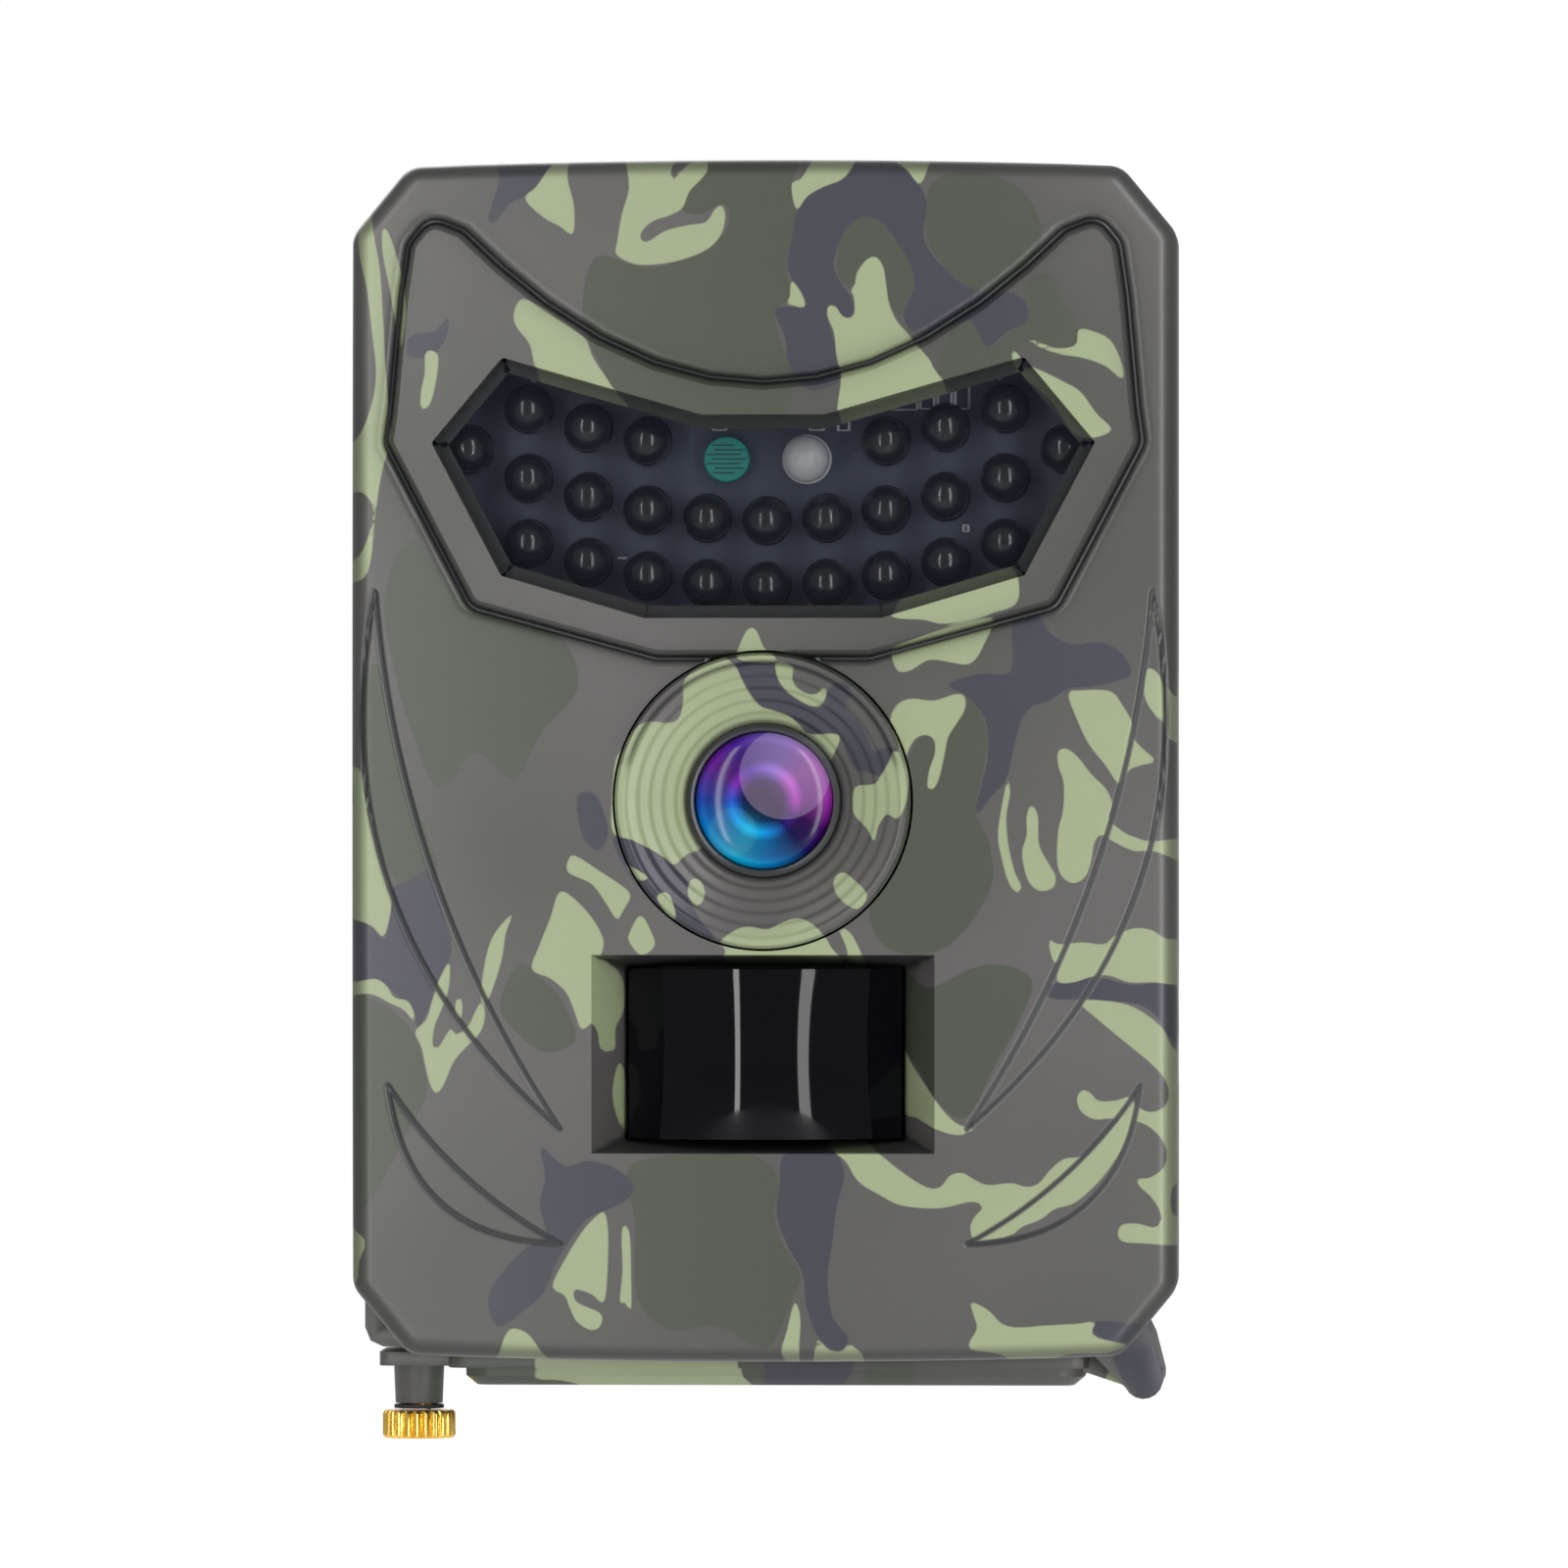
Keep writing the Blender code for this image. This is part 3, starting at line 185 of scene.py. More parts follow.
    (13.8, 4.3, 14.5, 6, 16, 6.7, 18.5, 6.5, 20.8, 7.2, 21.8, 6.9, 21.8, 5.5, 20.9, 4, 20, 2.5, 19.6,
     0.5, 19, -2, 18.4, -3, 17.8, -2.8, 18, -1, 18.6, 0.8, 18.5, 2.3, 17.5, 2.8, 16.4, 2.3, 15.7, 1, 15,
     -0.5, 14.6, 2),
    (13.8, 16, 19, 21, 26.5, 21, 27.6, 19.5, 27.4, 17, 25, 16, 20, 14.8, 17.5, 15.2),
    (13.9, 11.5, 14.3, 12.3, 16.5, 13.2, 19.5, 14.2, 24, 15.4, 24.9, 15, 24, 12.8, 23, 11, 22, 10.4,
     20.5, 10.6, 18, 10.9, 16, 9.8, 14.6, 9.7),
    (-2.6, 11, -2.2, 13, -1.4, 14.3, -0.6, 14, 0.2, 12.2, 1.4, 11.2, 1, 10.6),
    (-4.5, -19.5, -3, -18.3, -1.5, -17.9, 0.5, -18.2, 2, -17.5, 3.7, -17, 5.2, -17.5, 6.5, -18.7, 7.3,
     -20, 7.9, -22.2, -3.4, -22.2, -4, -20.5),
    (8.3, -18.2, 9.3, -18.4, 10.3, -20, 11, -22.2, 9.6, -22.2, 9, -20),
    (-4.6, 11.2, -3, 10.3, -2.2, 8.6, -1.3, 7, -0.3, 5.9, 1.2, 5.4, 2.8, 4.8, 3.9, 3.8, 5, 2.9, 7.8,
     2.9, 8.2, 2.2, 7.3, 0.2, 6.5, -1.5, 0, -4.3, -6.4, -9.2, -8.3, -10.1, -9.6, -11.2, -10.6, -10.5,
     -12.4, -9.4, -14.2, -8.5, -16.2, -7.7, -16.3, -4, -15.9, 0, -15, 1.6, -14, 3.2, -12.5, 4.2, -10,
     4.1, -9, 4.8, -8.6, 6.5, -8.5, 8.3, -7.4, 9.8),
    (1.5, 10.7, 1.6, 9, 2.5, 7.6, 4, 6.5, 5.3, 5.9, 6.3, 6.1, 6.9, 7.3, 6.6, 7.9, 5.9, 7.3, 5, 7.2, 3.8,
     7.8, 3.2, 8.8, 3.2, 10.2),
    (9.7, -3.4, 10.2, -2.7, 12, -2.5, 12.8, -1.5, 13.6, -0.2, 14.2, 1, 15.2, 0.5, 15.8, -1.5, 15.5,
     -4.5, 14.6, -6.2, 13.4, -5.8, 12.5, -7, 12, -8.6, 11.2, -7.3, 9.8, -5.8, 9.6, -4.5),
    (8, -12.3, 8.8, -12.1, 9.8, -12.8, 11.2, -14.2, 11.1, -15.2, 10.2, -16, 8.9, -15.4, 7.9, -14.3, 7.6,
     -13.2),
    (-7.8, -12.9, -6.9, -12.9, -6.3, -14.2, -6.7, -15.4, -7.4, -15.5, -8.1, -14.3),
    (-11.4, -14.7, -10.2, -14.3, -9.4, -16.4, -9.6, -17.1, -10.6, -16.2),
    (-14.8, -11.2, -13.5, -11.8, -12.4, -12.6, -13.3, -12.9, -14.3, -12),
    (22.4, -58.6, 23.2, -58.7, 24.5, -59.5, 25.8, -60.8, 27.5, -61.2, 30.5, -61, 34, -60.8, 35.8, -60.6,
     35.5, -61.6, 36, -62.3, 38.5, -62.9, 39.2, -63.2, 37, -64, 33.5, -64.1, 32, -64.4, 29, -65.5, 27.2,
     -65.3, 26, -64.3, 24.5, -63.9, 22.5, -63.6, 22.3, -62.8, 23.1, -61.3, 22.8, -60),
    (3.4, -58.6, 4, -60, 3.9, -63, 3.7, -65.5, 2, -64.2, 2.6, -61.5),
    (5.9, -62.6, 7, -63.6, 8.6, -63.8, 9.1, -62.8, 10, -63.5, 10.7, -64.2, 10.6, -66, 5.8, -66),
    (14.8, -31.5, 16, -33, 17.8, -35.5, 19.5, -37.8, 21, -39.2, 22.8, -39.9, 21, -40.4, 18.5, -39.7,
     16.5, -38.6, 14.8, -37.8),
)

SLATE = (
    (9.9, 66, 13.5, 65.4, 15.5, 63.8, 17, 62, 17.7, 60, 17.3, 57, 18, 55, 19.8, 53, 21.5, 51.5, 23.5,
     50.7, 27, 50.5, 28.6, 49, 28.4, 47.3, 26.5, 46.4, 24.4, 44.7, 23.3, 46, 22.5, 47.5, 20.5, 47, 17.5,
     46, 16, 46.5, 15.2, 48.3, 16.3, 51, 16, 53.5, 14.5, 56, 13, 58, 11, 58.8, 9.3, 57.8, 8.3, 56, 7.6,
     53.5, 8.5, 51.5, 9.5, 50, 9.9, 48.5, 9.2, 47.8, 8.3, 48.4, 7.7, 49.3, 7, 49, 7, 47.5, 7.5, 46, 8,
     43.5, 8.3, 41, 5, 40, 3, 42.5, 2.3, 46, 1.3, 48.8, 4.5, 49.1, 4.3, 50.5, 2.7, 53, 3.2, 57, 3.8, 60,
     5, 61.3, 7, 62.3, 8.8, 63.2, 9.8, 64.5),
    (-29.8, 58.8, -28.7, 62.5, -28.2, 66, -22.5, 66, -23.3, 63.5, -25.5, 61.3, -27.5, 60.2, -29, 58.3),
    (-37.5, 46.2, -35.5, 46.5, -34, 48, -34.4, 45.5, -36, 43.8, -38.3, 43.7, -38.5, 45.5),
    (27, 14.8, 29.5, 16, 31, 13.8, 33.5, 12.6, 36.5, 12.8, 38.8, 11.5, 39.8, 9.5, 38.5, 8.7, 35.5, 8,
     33, 7.8, 31, 6.5, 29, 5.8, 27.8, 4, 27, 1, 26.3, -2, 25, -3.5, 23, -5.8, 23.5, -3, 24.3, 0.5, 24,
     4.5, 22, 7, 20, 8.3, 23.5, 9.4, 26.8, 9.7),
    (-46, -16, -42.5, -18, -41, -19.2, -40.3, -15, -40.2, -13.7, -38.5, -13, -36, -11.7, -35.4, -14,
     -34.5, -17, -33.7, -20, -34.2, -22, -35.3, -24, -36.3, -27, -37.5, -29, -37.9, -27, -39.5, -25.6,
     -41.2, -24, -43.5, -23.7, -46, -23.8),
    (-20, -3.7, -18.3, -3.5, -17.2, -5.5, -16.7, -8, -17.8, -9.7, -19.3, -8.5, -20, -6),
    (-2.8, 10.5, 1.4, 10.8, 1.5, 9, 2.3, 7.6, 4.2, 6.3, 6.6, 5.8, 7, 7.5, 8.3, 8.5, 9.5, 8, 9, 5.5,
     10.5, 4, 11.5, 2, 12, 1, 13.5, 1.5, 14.8, 1, 13.3, -0.5, 12.8, -1.6, 11, -1.2, 9.6, -0.6, 8.4, 2.4,
     7.6, 3, 5, 3, 3.8, 4.2, 2.2, 5.1, 0.2, 5.7, -1, 6.8, -2, 8.6),
    (-16.2, -8.2, -13.8, -8.7, -11.5, -9.8, -9.7, -11.4, -8.2, -13, -8.2, -14.5, -7.5, -15.8, -6.5,
     -17.5, -5, -19.3, -8, -18.3, -11, -16, -13.5, -13.5, -15.2, -11),
    (-24, -41.8, -21.5, -43.8, -19, -43.2, -16.5, -43.8, -14.3, -45.3, -14.2, -47, -16.5, -48.4, -19,
     -49.5, -21, -52, -22.5, -54.5, -23.8, -57.5, -26, -59.5, -28.8, -61.2, -29.8, -58, -28, -55, -25.5,
     -52.5, -23.5, -51.3, -24.2, -48, -23.6, -45),
    (1.8, -46, 2.5, -42.3, 7.2, -42, 8.8, -44.5, 8, -48, 7.5, -52, 7, -56, 7.5, -60, 9.2, -62.3, 8.5,
     -63.8, 7, -63.4, 5.6, -61.5, 4.6, -58.5, 4.3, -55.5, 2.5, -52, 1.5, -49),
    (36, -60.5, 40, -60.8, 41.5, -61, 39.5, -63.2, 36.5, -62.3, 35.6, -61.5),
    (34.5, -25.8, 31, -25.6, 31, -24.2, 36, -23.4, 40, -24.2, 46, -24.1, 46, -31, 44, -30, 42.5, -27.6,
     40, -26.2),
    (-18.5, -21.8, -17.2, -22.4, -17.8, -24.5, -18.8, -26.5, -19.8, -26.9, -19.9, -25.5, -19.2, -23.5),
)

OLIVE = (
    (-19, 46, -19.5, 50, -18, 54.5, -13, 53.4, -9, 54.1, -4.2, 57, -4.1, 60.2, -7, 59, -9, 60, -7, 63,
     -5, 66, 3.5, 66, 3.1, 62.3, 3.6, 59.5, 3, 56, 2.6, 53, 3, 50, 1.3, 48.5, 2, 45, 3.5, 42, 1, 36,
     -12, 36, -16, 40),
    (8, 55, 9.3, 57.8, 11, 58.8, 13, 58, 14.8, 56, 16.2, 53.5, 16.4, 51, 15.2, 48, 13.6, 49.5, 13.2,
     52.5, 12.2, 54.4, 10.8, 53.6, 9.8, 51.4, 8.3, 52),
    (17.9, 56, 17.6, 60, 19, 63, 24, 63.5, 28.5, 61, 30, 56.5, 27.5, 52, 24, 50.6, 21, 51.8, 19, 54),
    (18.8, 41, 20.5, 46.5, 23, 47.5, 24.4, 44.8, 27, 46.5, 28, 48.5, 28.5, 51.5, 31, 52.5, 32.5, 49.5,
     34, 47, 34, 44.9, 31.5, 44.2, 28.3, 45.4, 27, 43, 22, 40.5),
    (-41, 18, -38, 24, -33, 18, -28, 15.5, -22, 13.5, -20, 8, -24, 3, -27, -2, -31, 1, -35, -3, -38, 3,
     -40, 10),
    (-43.3, 9, -41.5, 10, -39.5, 2, -37.5, -5, -35.2, -12, -38.5, -13.2, -40.5, -12, -42.3, -6, -43.3,
     1),
    (-46, -26, -43, -25.6, -40.5, -26.8, -38.2, -29, -37, -32, -36.5, -36, -38.5, -40, -40.5, -44, -43,
     -48, -46, -49),
    (-26.5, -22, -24, -23.5, -22, -25.5, -20.5, -28.5, -20.5, -30.5, -23.5, -31.5, -26.5, -29.5, -28.5,
     -26.5),
    (-14, -43.5, -13.8, -50, -13.6, -58, -10, -61.5, -5, -61, 0, -63.5, 2, -61, 3.2, -58, 4, -55.5, 2,
     -52, 1.2, -49, 1.6, -45, -2, -42.5),
    (15, -23, 18, -24.5, 24, -22, 29, -23.5, 27.5, -28.5, 25, -33, 22, -38.5, 19, -37, 16.5, -33, 15,
     -30.5),
    (15.5, -1, 16.8, 2.4, 18.2, 2.6, 18.6, 0.5, 17.9, -2.9, 19, -2, 20.2, 3, 22, 6.8, 24, 4, 24, 0, 23,
     -5.5, 24.5, -9, 24.5, -14, 20, -20, 14, -20.5, 11.5, -16, 15, -9),
)


# ---------------------------------------------------------------- curves and distances

def smooth_closed(points, steps=5):
    """A closed Catmull-Rom curve through the points."""
    p = np.array(points, float).reshape(-1, 2)
    before, after, beyond = np.roll(p, 1, 0), np.roll(p, -1, 0), np.roll(p, -2, 0)
    parts = []
    for k in range(steps):
        t = k / steps
        parts.append(0.5 * (2 * p + (after - before) * t + (2 * before - 5 * p + 4 * after - beyond) * t * t
                            + (3 * p - before - 3 * after + beyond) * t ** 3))
    return np.stack(parts, 1).reshape(-1, 2)


def distance_to(points, outline, reach=1e9):
    """Signed distance of each (x, z) to a closed outline, negative inside. Beyond reach it's only a bound."""
    low, high = outline.min(0) - reach, outline.max(0) + reach
    near = ((points >= low) & (points <= high)).all(1)
    result = np.full(len(points), min(reach, 1e3))
    p = points[near][:, None, :]
    if not len(p):
        return result
    a, b = outline[None], np.roll(outline, -1, 0)[None]
    along = b - a
    t = np.clip(((p - a) * along).sum(2) / np.maximum((along ** 2).sum(2), 1e-12), 0, 1)
    gap = np.sqrt((((p - a) - along * t[..., None]) ** 2).sum(2)).min(1)
    crosses = (a[..., 1] > p[..., 1]) != (b[..., 1] > p[..., 1])
    rise = np.where(np.abs(along[..., 1]) < 1e-12, 1e-12, along[..., 1])
    at = a[..., 0] + (p[..., 1] - a[..., 1]) / rise * along[..., 0]
    inside = (crosses & (p[..., 0] < at)).sum(1) % 2 == 1
    result[near] = np.where(inside, -gap, gap)
    return result


def nearest_shape(points, shapes, reach=1.5):
    """Signed distance to the union of the smoothed shapes."""
    result = np.full(len(points), reach)
    for shape in shapes:
        result = np.minimum(result, distance_to(points, smooth_closed(shape), reach))
    return result


def fine(points, spacing):
    """The closed outline with its sides cut into steps of about that length."""
    result = []
    for i, point in enumerate(points):
        a, b = np.array(point, float), np.array(points[(i + 1) % len(points)], float)
        count = max(1, int(np.linalg.norm(b - a) / spacing))
        result += [a + (b - a) * k / count for k in range(count)]
    return np.array(result)


def rounded(points, radius, steps=6):
    """The polygon with every corner turned into an arc of about that radius."""
    result = []
    count = len(points)
    for i, point in enumerate(points):
        corner = Vector(point)
        before = Vector(points[i - 1]) - corner
        after = Vector(points[(i + 1) % count]) - corner
        half = before.angle(after) / 2
        reach = min(radius / math.tan(half), before.length * 0.45, after.length * 0.45)
        start = corner + before.normalized() * reach
        end = corner + after.normalized() * reach
        for k in range(steps + 1):
            t = k / steps
            result.append(tuple(start * (1 - t) ** 2 + corner * (2 * t * (1 - t)) + end * t * t))
    return result


def offset(points, distance):
    """The counter-clockwise outline grown by that distance."""
    p = np.array(points, float)
    into = p - np.roll(p, 1, 0)
    out = np.roll(p, -1, 0) - p
    into /= np.linalg.norm(into, axis=1)[:, None]
    out /= np.linalg.norm(out, axis=1)[:, None]
    normal = np.stack([into[:, 1] + out[:, 1], -into[:, 0] - out[:, 0]], 1)
    normal /= np.linalg.norm(normal, axis=1)[:, None]
    side = np.stack([into[:, 1], -into[:, 0]], 1)
    return p + normal * (distance / np.maximum((normal * side).sum(1), 0.3))[:, None]


def mirrored(right_half):
    left = [(-x, z) for x, z in reversed(right_half) if x > 1e-6]
    return list(right_half) + left


def housing_outline(spacing=0.8):
    arch = [(CHAMFER_X * k / 6, EDGE_Z + ARCH * (1 - (k / 6) ** 2)) for k in range(6)]
    corners = [(CHAMFER_X, -EDGE_Z), (HALF_WIDTH, -CORNER_Z), (HALF_WIDTH, CORNER_Z), (CHAMFER_X, EDGE_Z)]
    steps = 8
    arcs = rounded([(0, -EDGE_Z)] + corners + [(0, EDGE_Z)], 3.2, steps)[steps + 1:-(steps + 1)]
    outline = mirrored([(x, -z) for x, z in arch] + arcs + arch[::-1])
    return fine(outline, spacing)


def window_outline():
    right = [(12.8, 15.4), (28.3, 20.0), (35.9, 34.4), (28.2, 43.6), (6.7, 37.4)]
    return rounded(mirrored(right), 0.5, 3)


def plateau_outline():
    brow = [(x, 40.0 + 0.0152 * x * x) for x in (33.0, 29.0, 24.0, 18.0, 12.0, 6.0, 0.0)]
    right = [(11.4, 12.0), (31.0, 17.4), (40.0, 34.5), (39.5, 38.0), (38.4, 50.1), (37.6, 55.6), (35.9, 57.7)]
    return rounded(mirrored(right + brow), 1.4, 4)


def arc_points(start, end, sagitta, steps):
    """Points on the arc from start to end that bulges by sagitta to the left of the way there."""
    a, b = Vector(start), Vector(end)
    along = b - a
    left = Vector((-along.y, along.x)).normalized()
    shares = [k / steps for k in range(steps + 1)]
    return [tuple(a + along * t + left * (sagitta * 4 * t * (1 - t))) for t in shares]


def claw_outlines():
    """The four crescents, two on each side."""
    outlines = []
    for top, tip, outer, inner in CLAWS:
        left = arc_points(top, tip, -outer, 30) + arc_points(tip, top, inner, 30)[1:-1]
        outlines += [np.array(left), np.array([(-x, z) for x, z in reversed(left)])]
    return outlines


def circle(radius, steps, centre=(0, 0)):
    turns = [math.tau * k / steps for k in range(steps)]
    return np.array([(centre[0] + radius * math.cos(a), centre[1] + radius * math.sin(a)) for a in turns])


def rectangle(half, centre_z, spacing=0.6):
    x, z = half
    return fine([(-x, centre_z - z), (x, centre_z - z), (x, centre_z + z), (-x, centre_z + z)], spacing)


# ---------------------------------------------------------------- meshes

def add_mesh(name, vertices, faces, material=None, smooth=True, sharp=40):
    """An object from points in millimetres."""
    mesh = bpy.data.meshes.new(name)
    mesh.from_pydata([tuple(v) for v in np.asarray(vertices, float) * MM], [], [tuple(f) for f in faces])
    mesh.validate()
    obj = bpy.data.objects.new(name, mesh)
    bpy.context.scene.collection.objects.link(obj)
    face_out(obj)
    if smooth:
        mesh.shade_smooth()
        mesh.set_sharp_from_angle(angle=math.radians(sharp))
    if material:
        mesh.materials.append(material)
    return obj


def face_out(obj):
    bm = bmesh.new()
    bm.from_mesh(obj.data)
    bmesh.ops.recalc_face_normals(bm, faces=bm.faces)
    bm.to_mesh(obj.data)
    bm.free()


def add_value(obj, name, values):
    """A number for every point, which a material can read."""
    layer = obj.data.attributes.new(name, "FLOAT", "POINT")
    layer.data.foreach_set("value", np.asarray(values, np.float32))


def paint(obj, points, groove=None, shade=None):
    """Stores how far every point is from each colour and groove, and how much painted shade it has."""
    add_value(obj, "sage", nearest_shape(points, SAGE))
    add_value(obj, "slate", nearest_shape(points, SLATE))
    add_value(obj, "olive", nearest_shape(points, OLIVE))
    add_value(obj, "groove", np.full(len(points), 5.0) if groove is None else groove)
    add_value(obj, "shade", np.zeros(len(points)) if shade is None else shade)


def strip_faces(low, high, count):
    """Quads between two closed rings of points, given the index of each ring's first point."""
    return [(low + k, low + (k + 1) % count, high + (k + 1) % count, high + k) for k in range(count)]


def turned(name, profile, centre, material, axis="y", steps=64):
    """A closed profile of (radius, level) spun about an axis through centre."""
    vertices = []
    for radius, level in profile:
        for u, v in circle(max(radius, 1e-4), steps, centre):
            vertices.append((u, level, v) if axis == "y" else (u, v, level))
    faces = []
    for i in range(len(profile)):
        faces += strip_faces(i * steps, (i + 1) % len(profile) * steps, steps)
    obj = add_mesh(name, vertices, faces, material, smooth=False)
    weld(obj)
    obj.data.shade_smooth()
    obj.data.set_sharp_from_angle(angle=math.radians(40))
    return obj


def weld(obj, within=2e-6):
    bm = bmesh.new()
    bm.from_mesh(obj.data)
    bmesh.ops.remove_doubles(bm, verts=bm.verts, dist=within)
    bmesh.ops.recalc_face_normals(bm, faces=bm.faces)
    bm.to_mesh(obj.data)
    bm.free()


def box_mesh(boxes):
    """Points and faces of boxes given as three (low, high) pairs each."""
    vertices, faces = [], []
    sides = ((0, 1, 3, 2), (4, 6, 7, 5), (0, 4, 5, 1), (2, 3, 7, 6), (0, 2, 6, 4), (1, 5, 7, 3))
    for x, y, z in boxes:
        start = len(vertices)
        vertices += [(a, b, c) for a in x for b in y for c in z]
        faces += [tuple(start + k for k in side) for side in sides]
    return vertices, faces


def spread(middle, half):
    return (middle - half, middle + half)


def block(name, x, y, z, material):
    return add_mesh(name, *box_mesh([(x, y, z)]), material, smooth=False)


def soften(obj, width, segments=3):
    """Rounds the sharp edges of a mesh."""
    modifier = obj.modifiers.new("soften", "BEVEL")
    modifier.width = width * MM
    modifier.segments = segments
    modifier.limit_method = "ANGLE"
    modifier.angle_limit = math.radians(35)
    modifier.use_clamp_overlap = True
    modifier.harden_normals = False
    bpy.context.view_layer.update()
    graph = bpy.context.evaluated_depsgraph_get()
    mesh = bpy.data.meshes.new_from_object(obj.evaluated_get(graph))
    obj.modifiers.clear()
    obj.data = mesh
    mesh.shade_smooth()
    mesh.set_sharp_from_angle(angle=math.radians(40))


def from_cad(node, material, width=0.0, body="housing"):
    """A piece with a CAD node's own shape, its flat faces merged and its edges rounded."""
    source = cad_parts[node]
    bm = bmesh.new()
    bm.from_mesh(source.data)
    bm.transform(source.matrix_world)
    bmesh.ops.remove_doubles(bm, verts=bm.verts, dist=1e-6)
    bmesh.ops.dissolve_limit(bm, angle_limit=math.radians(0.6), verts=bm.verts, edges=bm.edges)
    bmesh.ops.recalc_face_normals(bm, faces=bm.faces)
    mesh = bpy.data.meshes.new(f"{node}_skin")
    bm.to_mesh(mesh)
    bm.free()
    obj = bpy.data.objects.new(f"{node}_skin", mesh)
    bpy.context.scene.collection.objects.link(obj)
    mesh.materials.clear()
    mesh.materials.append(material)
    mesh.shade_smooth()
    mesh.set_sharp_from_angle(angle=math.radians(32))
    if width:
        soften(obj, width, 2)
    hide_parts(node)
    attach(obj, body)
    return obj


def place(obj, body, *nodes):
    """Hands a piece to its body, in place of the CAD nodes it stands for."""
    if nodes:
        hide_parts(*nodes)
    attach(obj, body)
    return obj


# ---------------------------------------------------------------- materials

class Nodes:
    """A short way to build a material's node tree."""

    def __init__(self, name, roughness, metallic=0.0):
        self.material = bpy.data.materials.new(name)
        self.material.use_nodes = True
        self.tree = self.material.node_tree
        self.shader = self.tree.nodes["Principled BSDF"]
        self.shader.inputs["Roughness"].default_value = roughness
        self.shader.inputs["Metallic"].default_value = metallic

    def add(self, kind, **settings):
        node = self.tree.nodes.new(kind)
        for key, value in settings.items():
            setattr(node, key, value)
        return node

    def link(self, source, target):
        self.tree.links.new(source, target)

    def value(self, name):
        """An attribute that was stored on the mesh."""
        return self.add("ShaderNodeAttribute", attribute_name=name).outputs["Fac"]

    def remap(self, source, lows, highs, smooth=False):
        node = self.add("ShaderNodeMapRange", interpolation_type="SMOOTHSTEP" if smooth else "LINEAR")
        self.link(source, node.inputs["Value"])
        names = ("From Min", "From Max", "To Min", "To Max")
        for name, number in zip(names, (*lows, *highs)):
            node.inputs[name].default_value = number
        return node.outputs["Result"]

    def maths(self, operation, first, second):
        node = self.add("ShaderNodeMath", operation=operation)
        for socket, value in zip(node.inputs, (first, second)):
            if isinstance(value, (int, float)):
                socket.default_value = value
            else:
                self.link(value, socket)
        return node.outputs[0]

    def mix(self, factor, first, second):
        node = self.add("ShaderNodeMix", data_type="RGBA")
        self.link(factor, node.inputs[0])
        for socket, value in ((node.inputs[6], first), (node.inputs[7], second)):
            if isinstance(value, tuple):
                socket.default_value = (*value, 1.0)
            else:
                self.link(value, socket)
        return node.outputs[2]

    def noise(self, scale, detail=2.0, stretch=(1, 1, 1), turn=(0, 0, 0), distortion=0.0):
        place_node = self.add("ShaderNodeTexCoord")
        mapping = self.add("ShaderNodeMapping")
        mapping.inputs["Scale"].default_value = stretch
        mapping.inputs["Rotation"].default_value = turn
        noise = self.add("ShaderNodeTexNoise")
        noise.inputs["Scale"].default_value = scale
        noise.inputs["Detail"].default_value = detail
        noise.inputs["Distortion"].default_value = distortion
        self.link(place_node.outputs["Object"], mapping.inputs["Vector"])
        self.link(mapping.outputs["Vector"], noise.inputs["Vector"])
        return noise.outputs["Fac"]

    def bump(self, height, distance, strength=1.0):
        node = self.add("ShaderNodeBump")
        node.inputs["Strength"].default_value = strength
        node.inputs["Distance"].default_value = distance
        self.link(height, node.inputs["Height"])
        self.link(node.outputs["Normal"], self.shader.inputs["Normal"])

    def colour(self, source):
        self.link(source, self.shader.inputs["Base Color"])
        return self.material


CAMO = {
    "base": (0.074, 0.070, 0.069),
    "base_warm": (0.048, 0.049, 0.043),
    "olive": (0.041, 0.048, 0.032),
    "slate": (0.027, 0.027, 0.040),
    "sage": (0.235, 0.280, 0.160),
}


def front_camo():
    """The camouflage drawn above, on pieces that store their distances to it, darkened with painted shade
    where they store shade and along their groove lines.
    """
    m = Nodes("front_camo", 0.36)
    drift = m.remap(m.noise(22, 1.0), (0.35, 0.65), (0, 1))
    colour = m.mix(drift, CAMO["base"], CAMO["base_warm"])
    for name in ("olive", "slate", "sage"):
        inside = m.remap(m.value(name), (-0.1, 0.1), (1, 0), smooth=True)
        colour = m.mix(inside, colour, CAMO[name])
    # Painted shade: the stored shade mixes the colour towards near black.
    shaded = m.remap(m.value("shade"), (0, 1), (0, 0.8))
    colour = m.mix(shaded, colour, (0.016, 0.018, 0.017))
    # Painted shade along the groove lines of the claws and the mask: near black in the groove. The bump below
    # also dips the groove.
    groove = m.remap(m.value("groove"), (0.12, 0.48), (0.97, 0), smooth=True)
    colour = m.mix(groove, colour, (0.006, 0.007, 0.008))
    dip = m.remap(m.value("groove"), (0.0, 0.55), (0, 1), smooth=True)
    grain = m.maths("MULTIPLY", m.noise(900, 2.0), 0.03)
    m.bump(m.maths("ADD", dip, grain), 0.00022, 0.7)
    return m.colour(colour)


def shell_camo():
    """The same four colours in brush-like patches, for the sides and the back."""
    m = Nodes("shell_camo", 0.38)
    drift = m.remap(m.noise(22, 1.0), (0.35, 0.65), (0, 1))
    colour = m.mix(drift, CAMO["base"], CAMO["base_warm"])
    layers = (("olive", 34, (1, 1, 0.55), (0.3, 0.2, 0.5), 0.52),
              ("slate", 42, (0.7, 1, 1.1), (0.9, 0.4, 0.1), 0.56),
              ("sage", 52, (1.2, 1, 0.6), (0.2, 1.1, 0.7), 0.585))
    for name, scale, stretch, turn, level in layers:
        field = m.noise(scale, 1.2, stretch, turn, 0.6)
        colour = m.mix(m.remap(field, (level, level + 0.008), (0, 1)), colour, CAMO[name])
    m.bump(m.noise(900, 2.0), 0.00001, 0.8)
    return m.colour(colour)


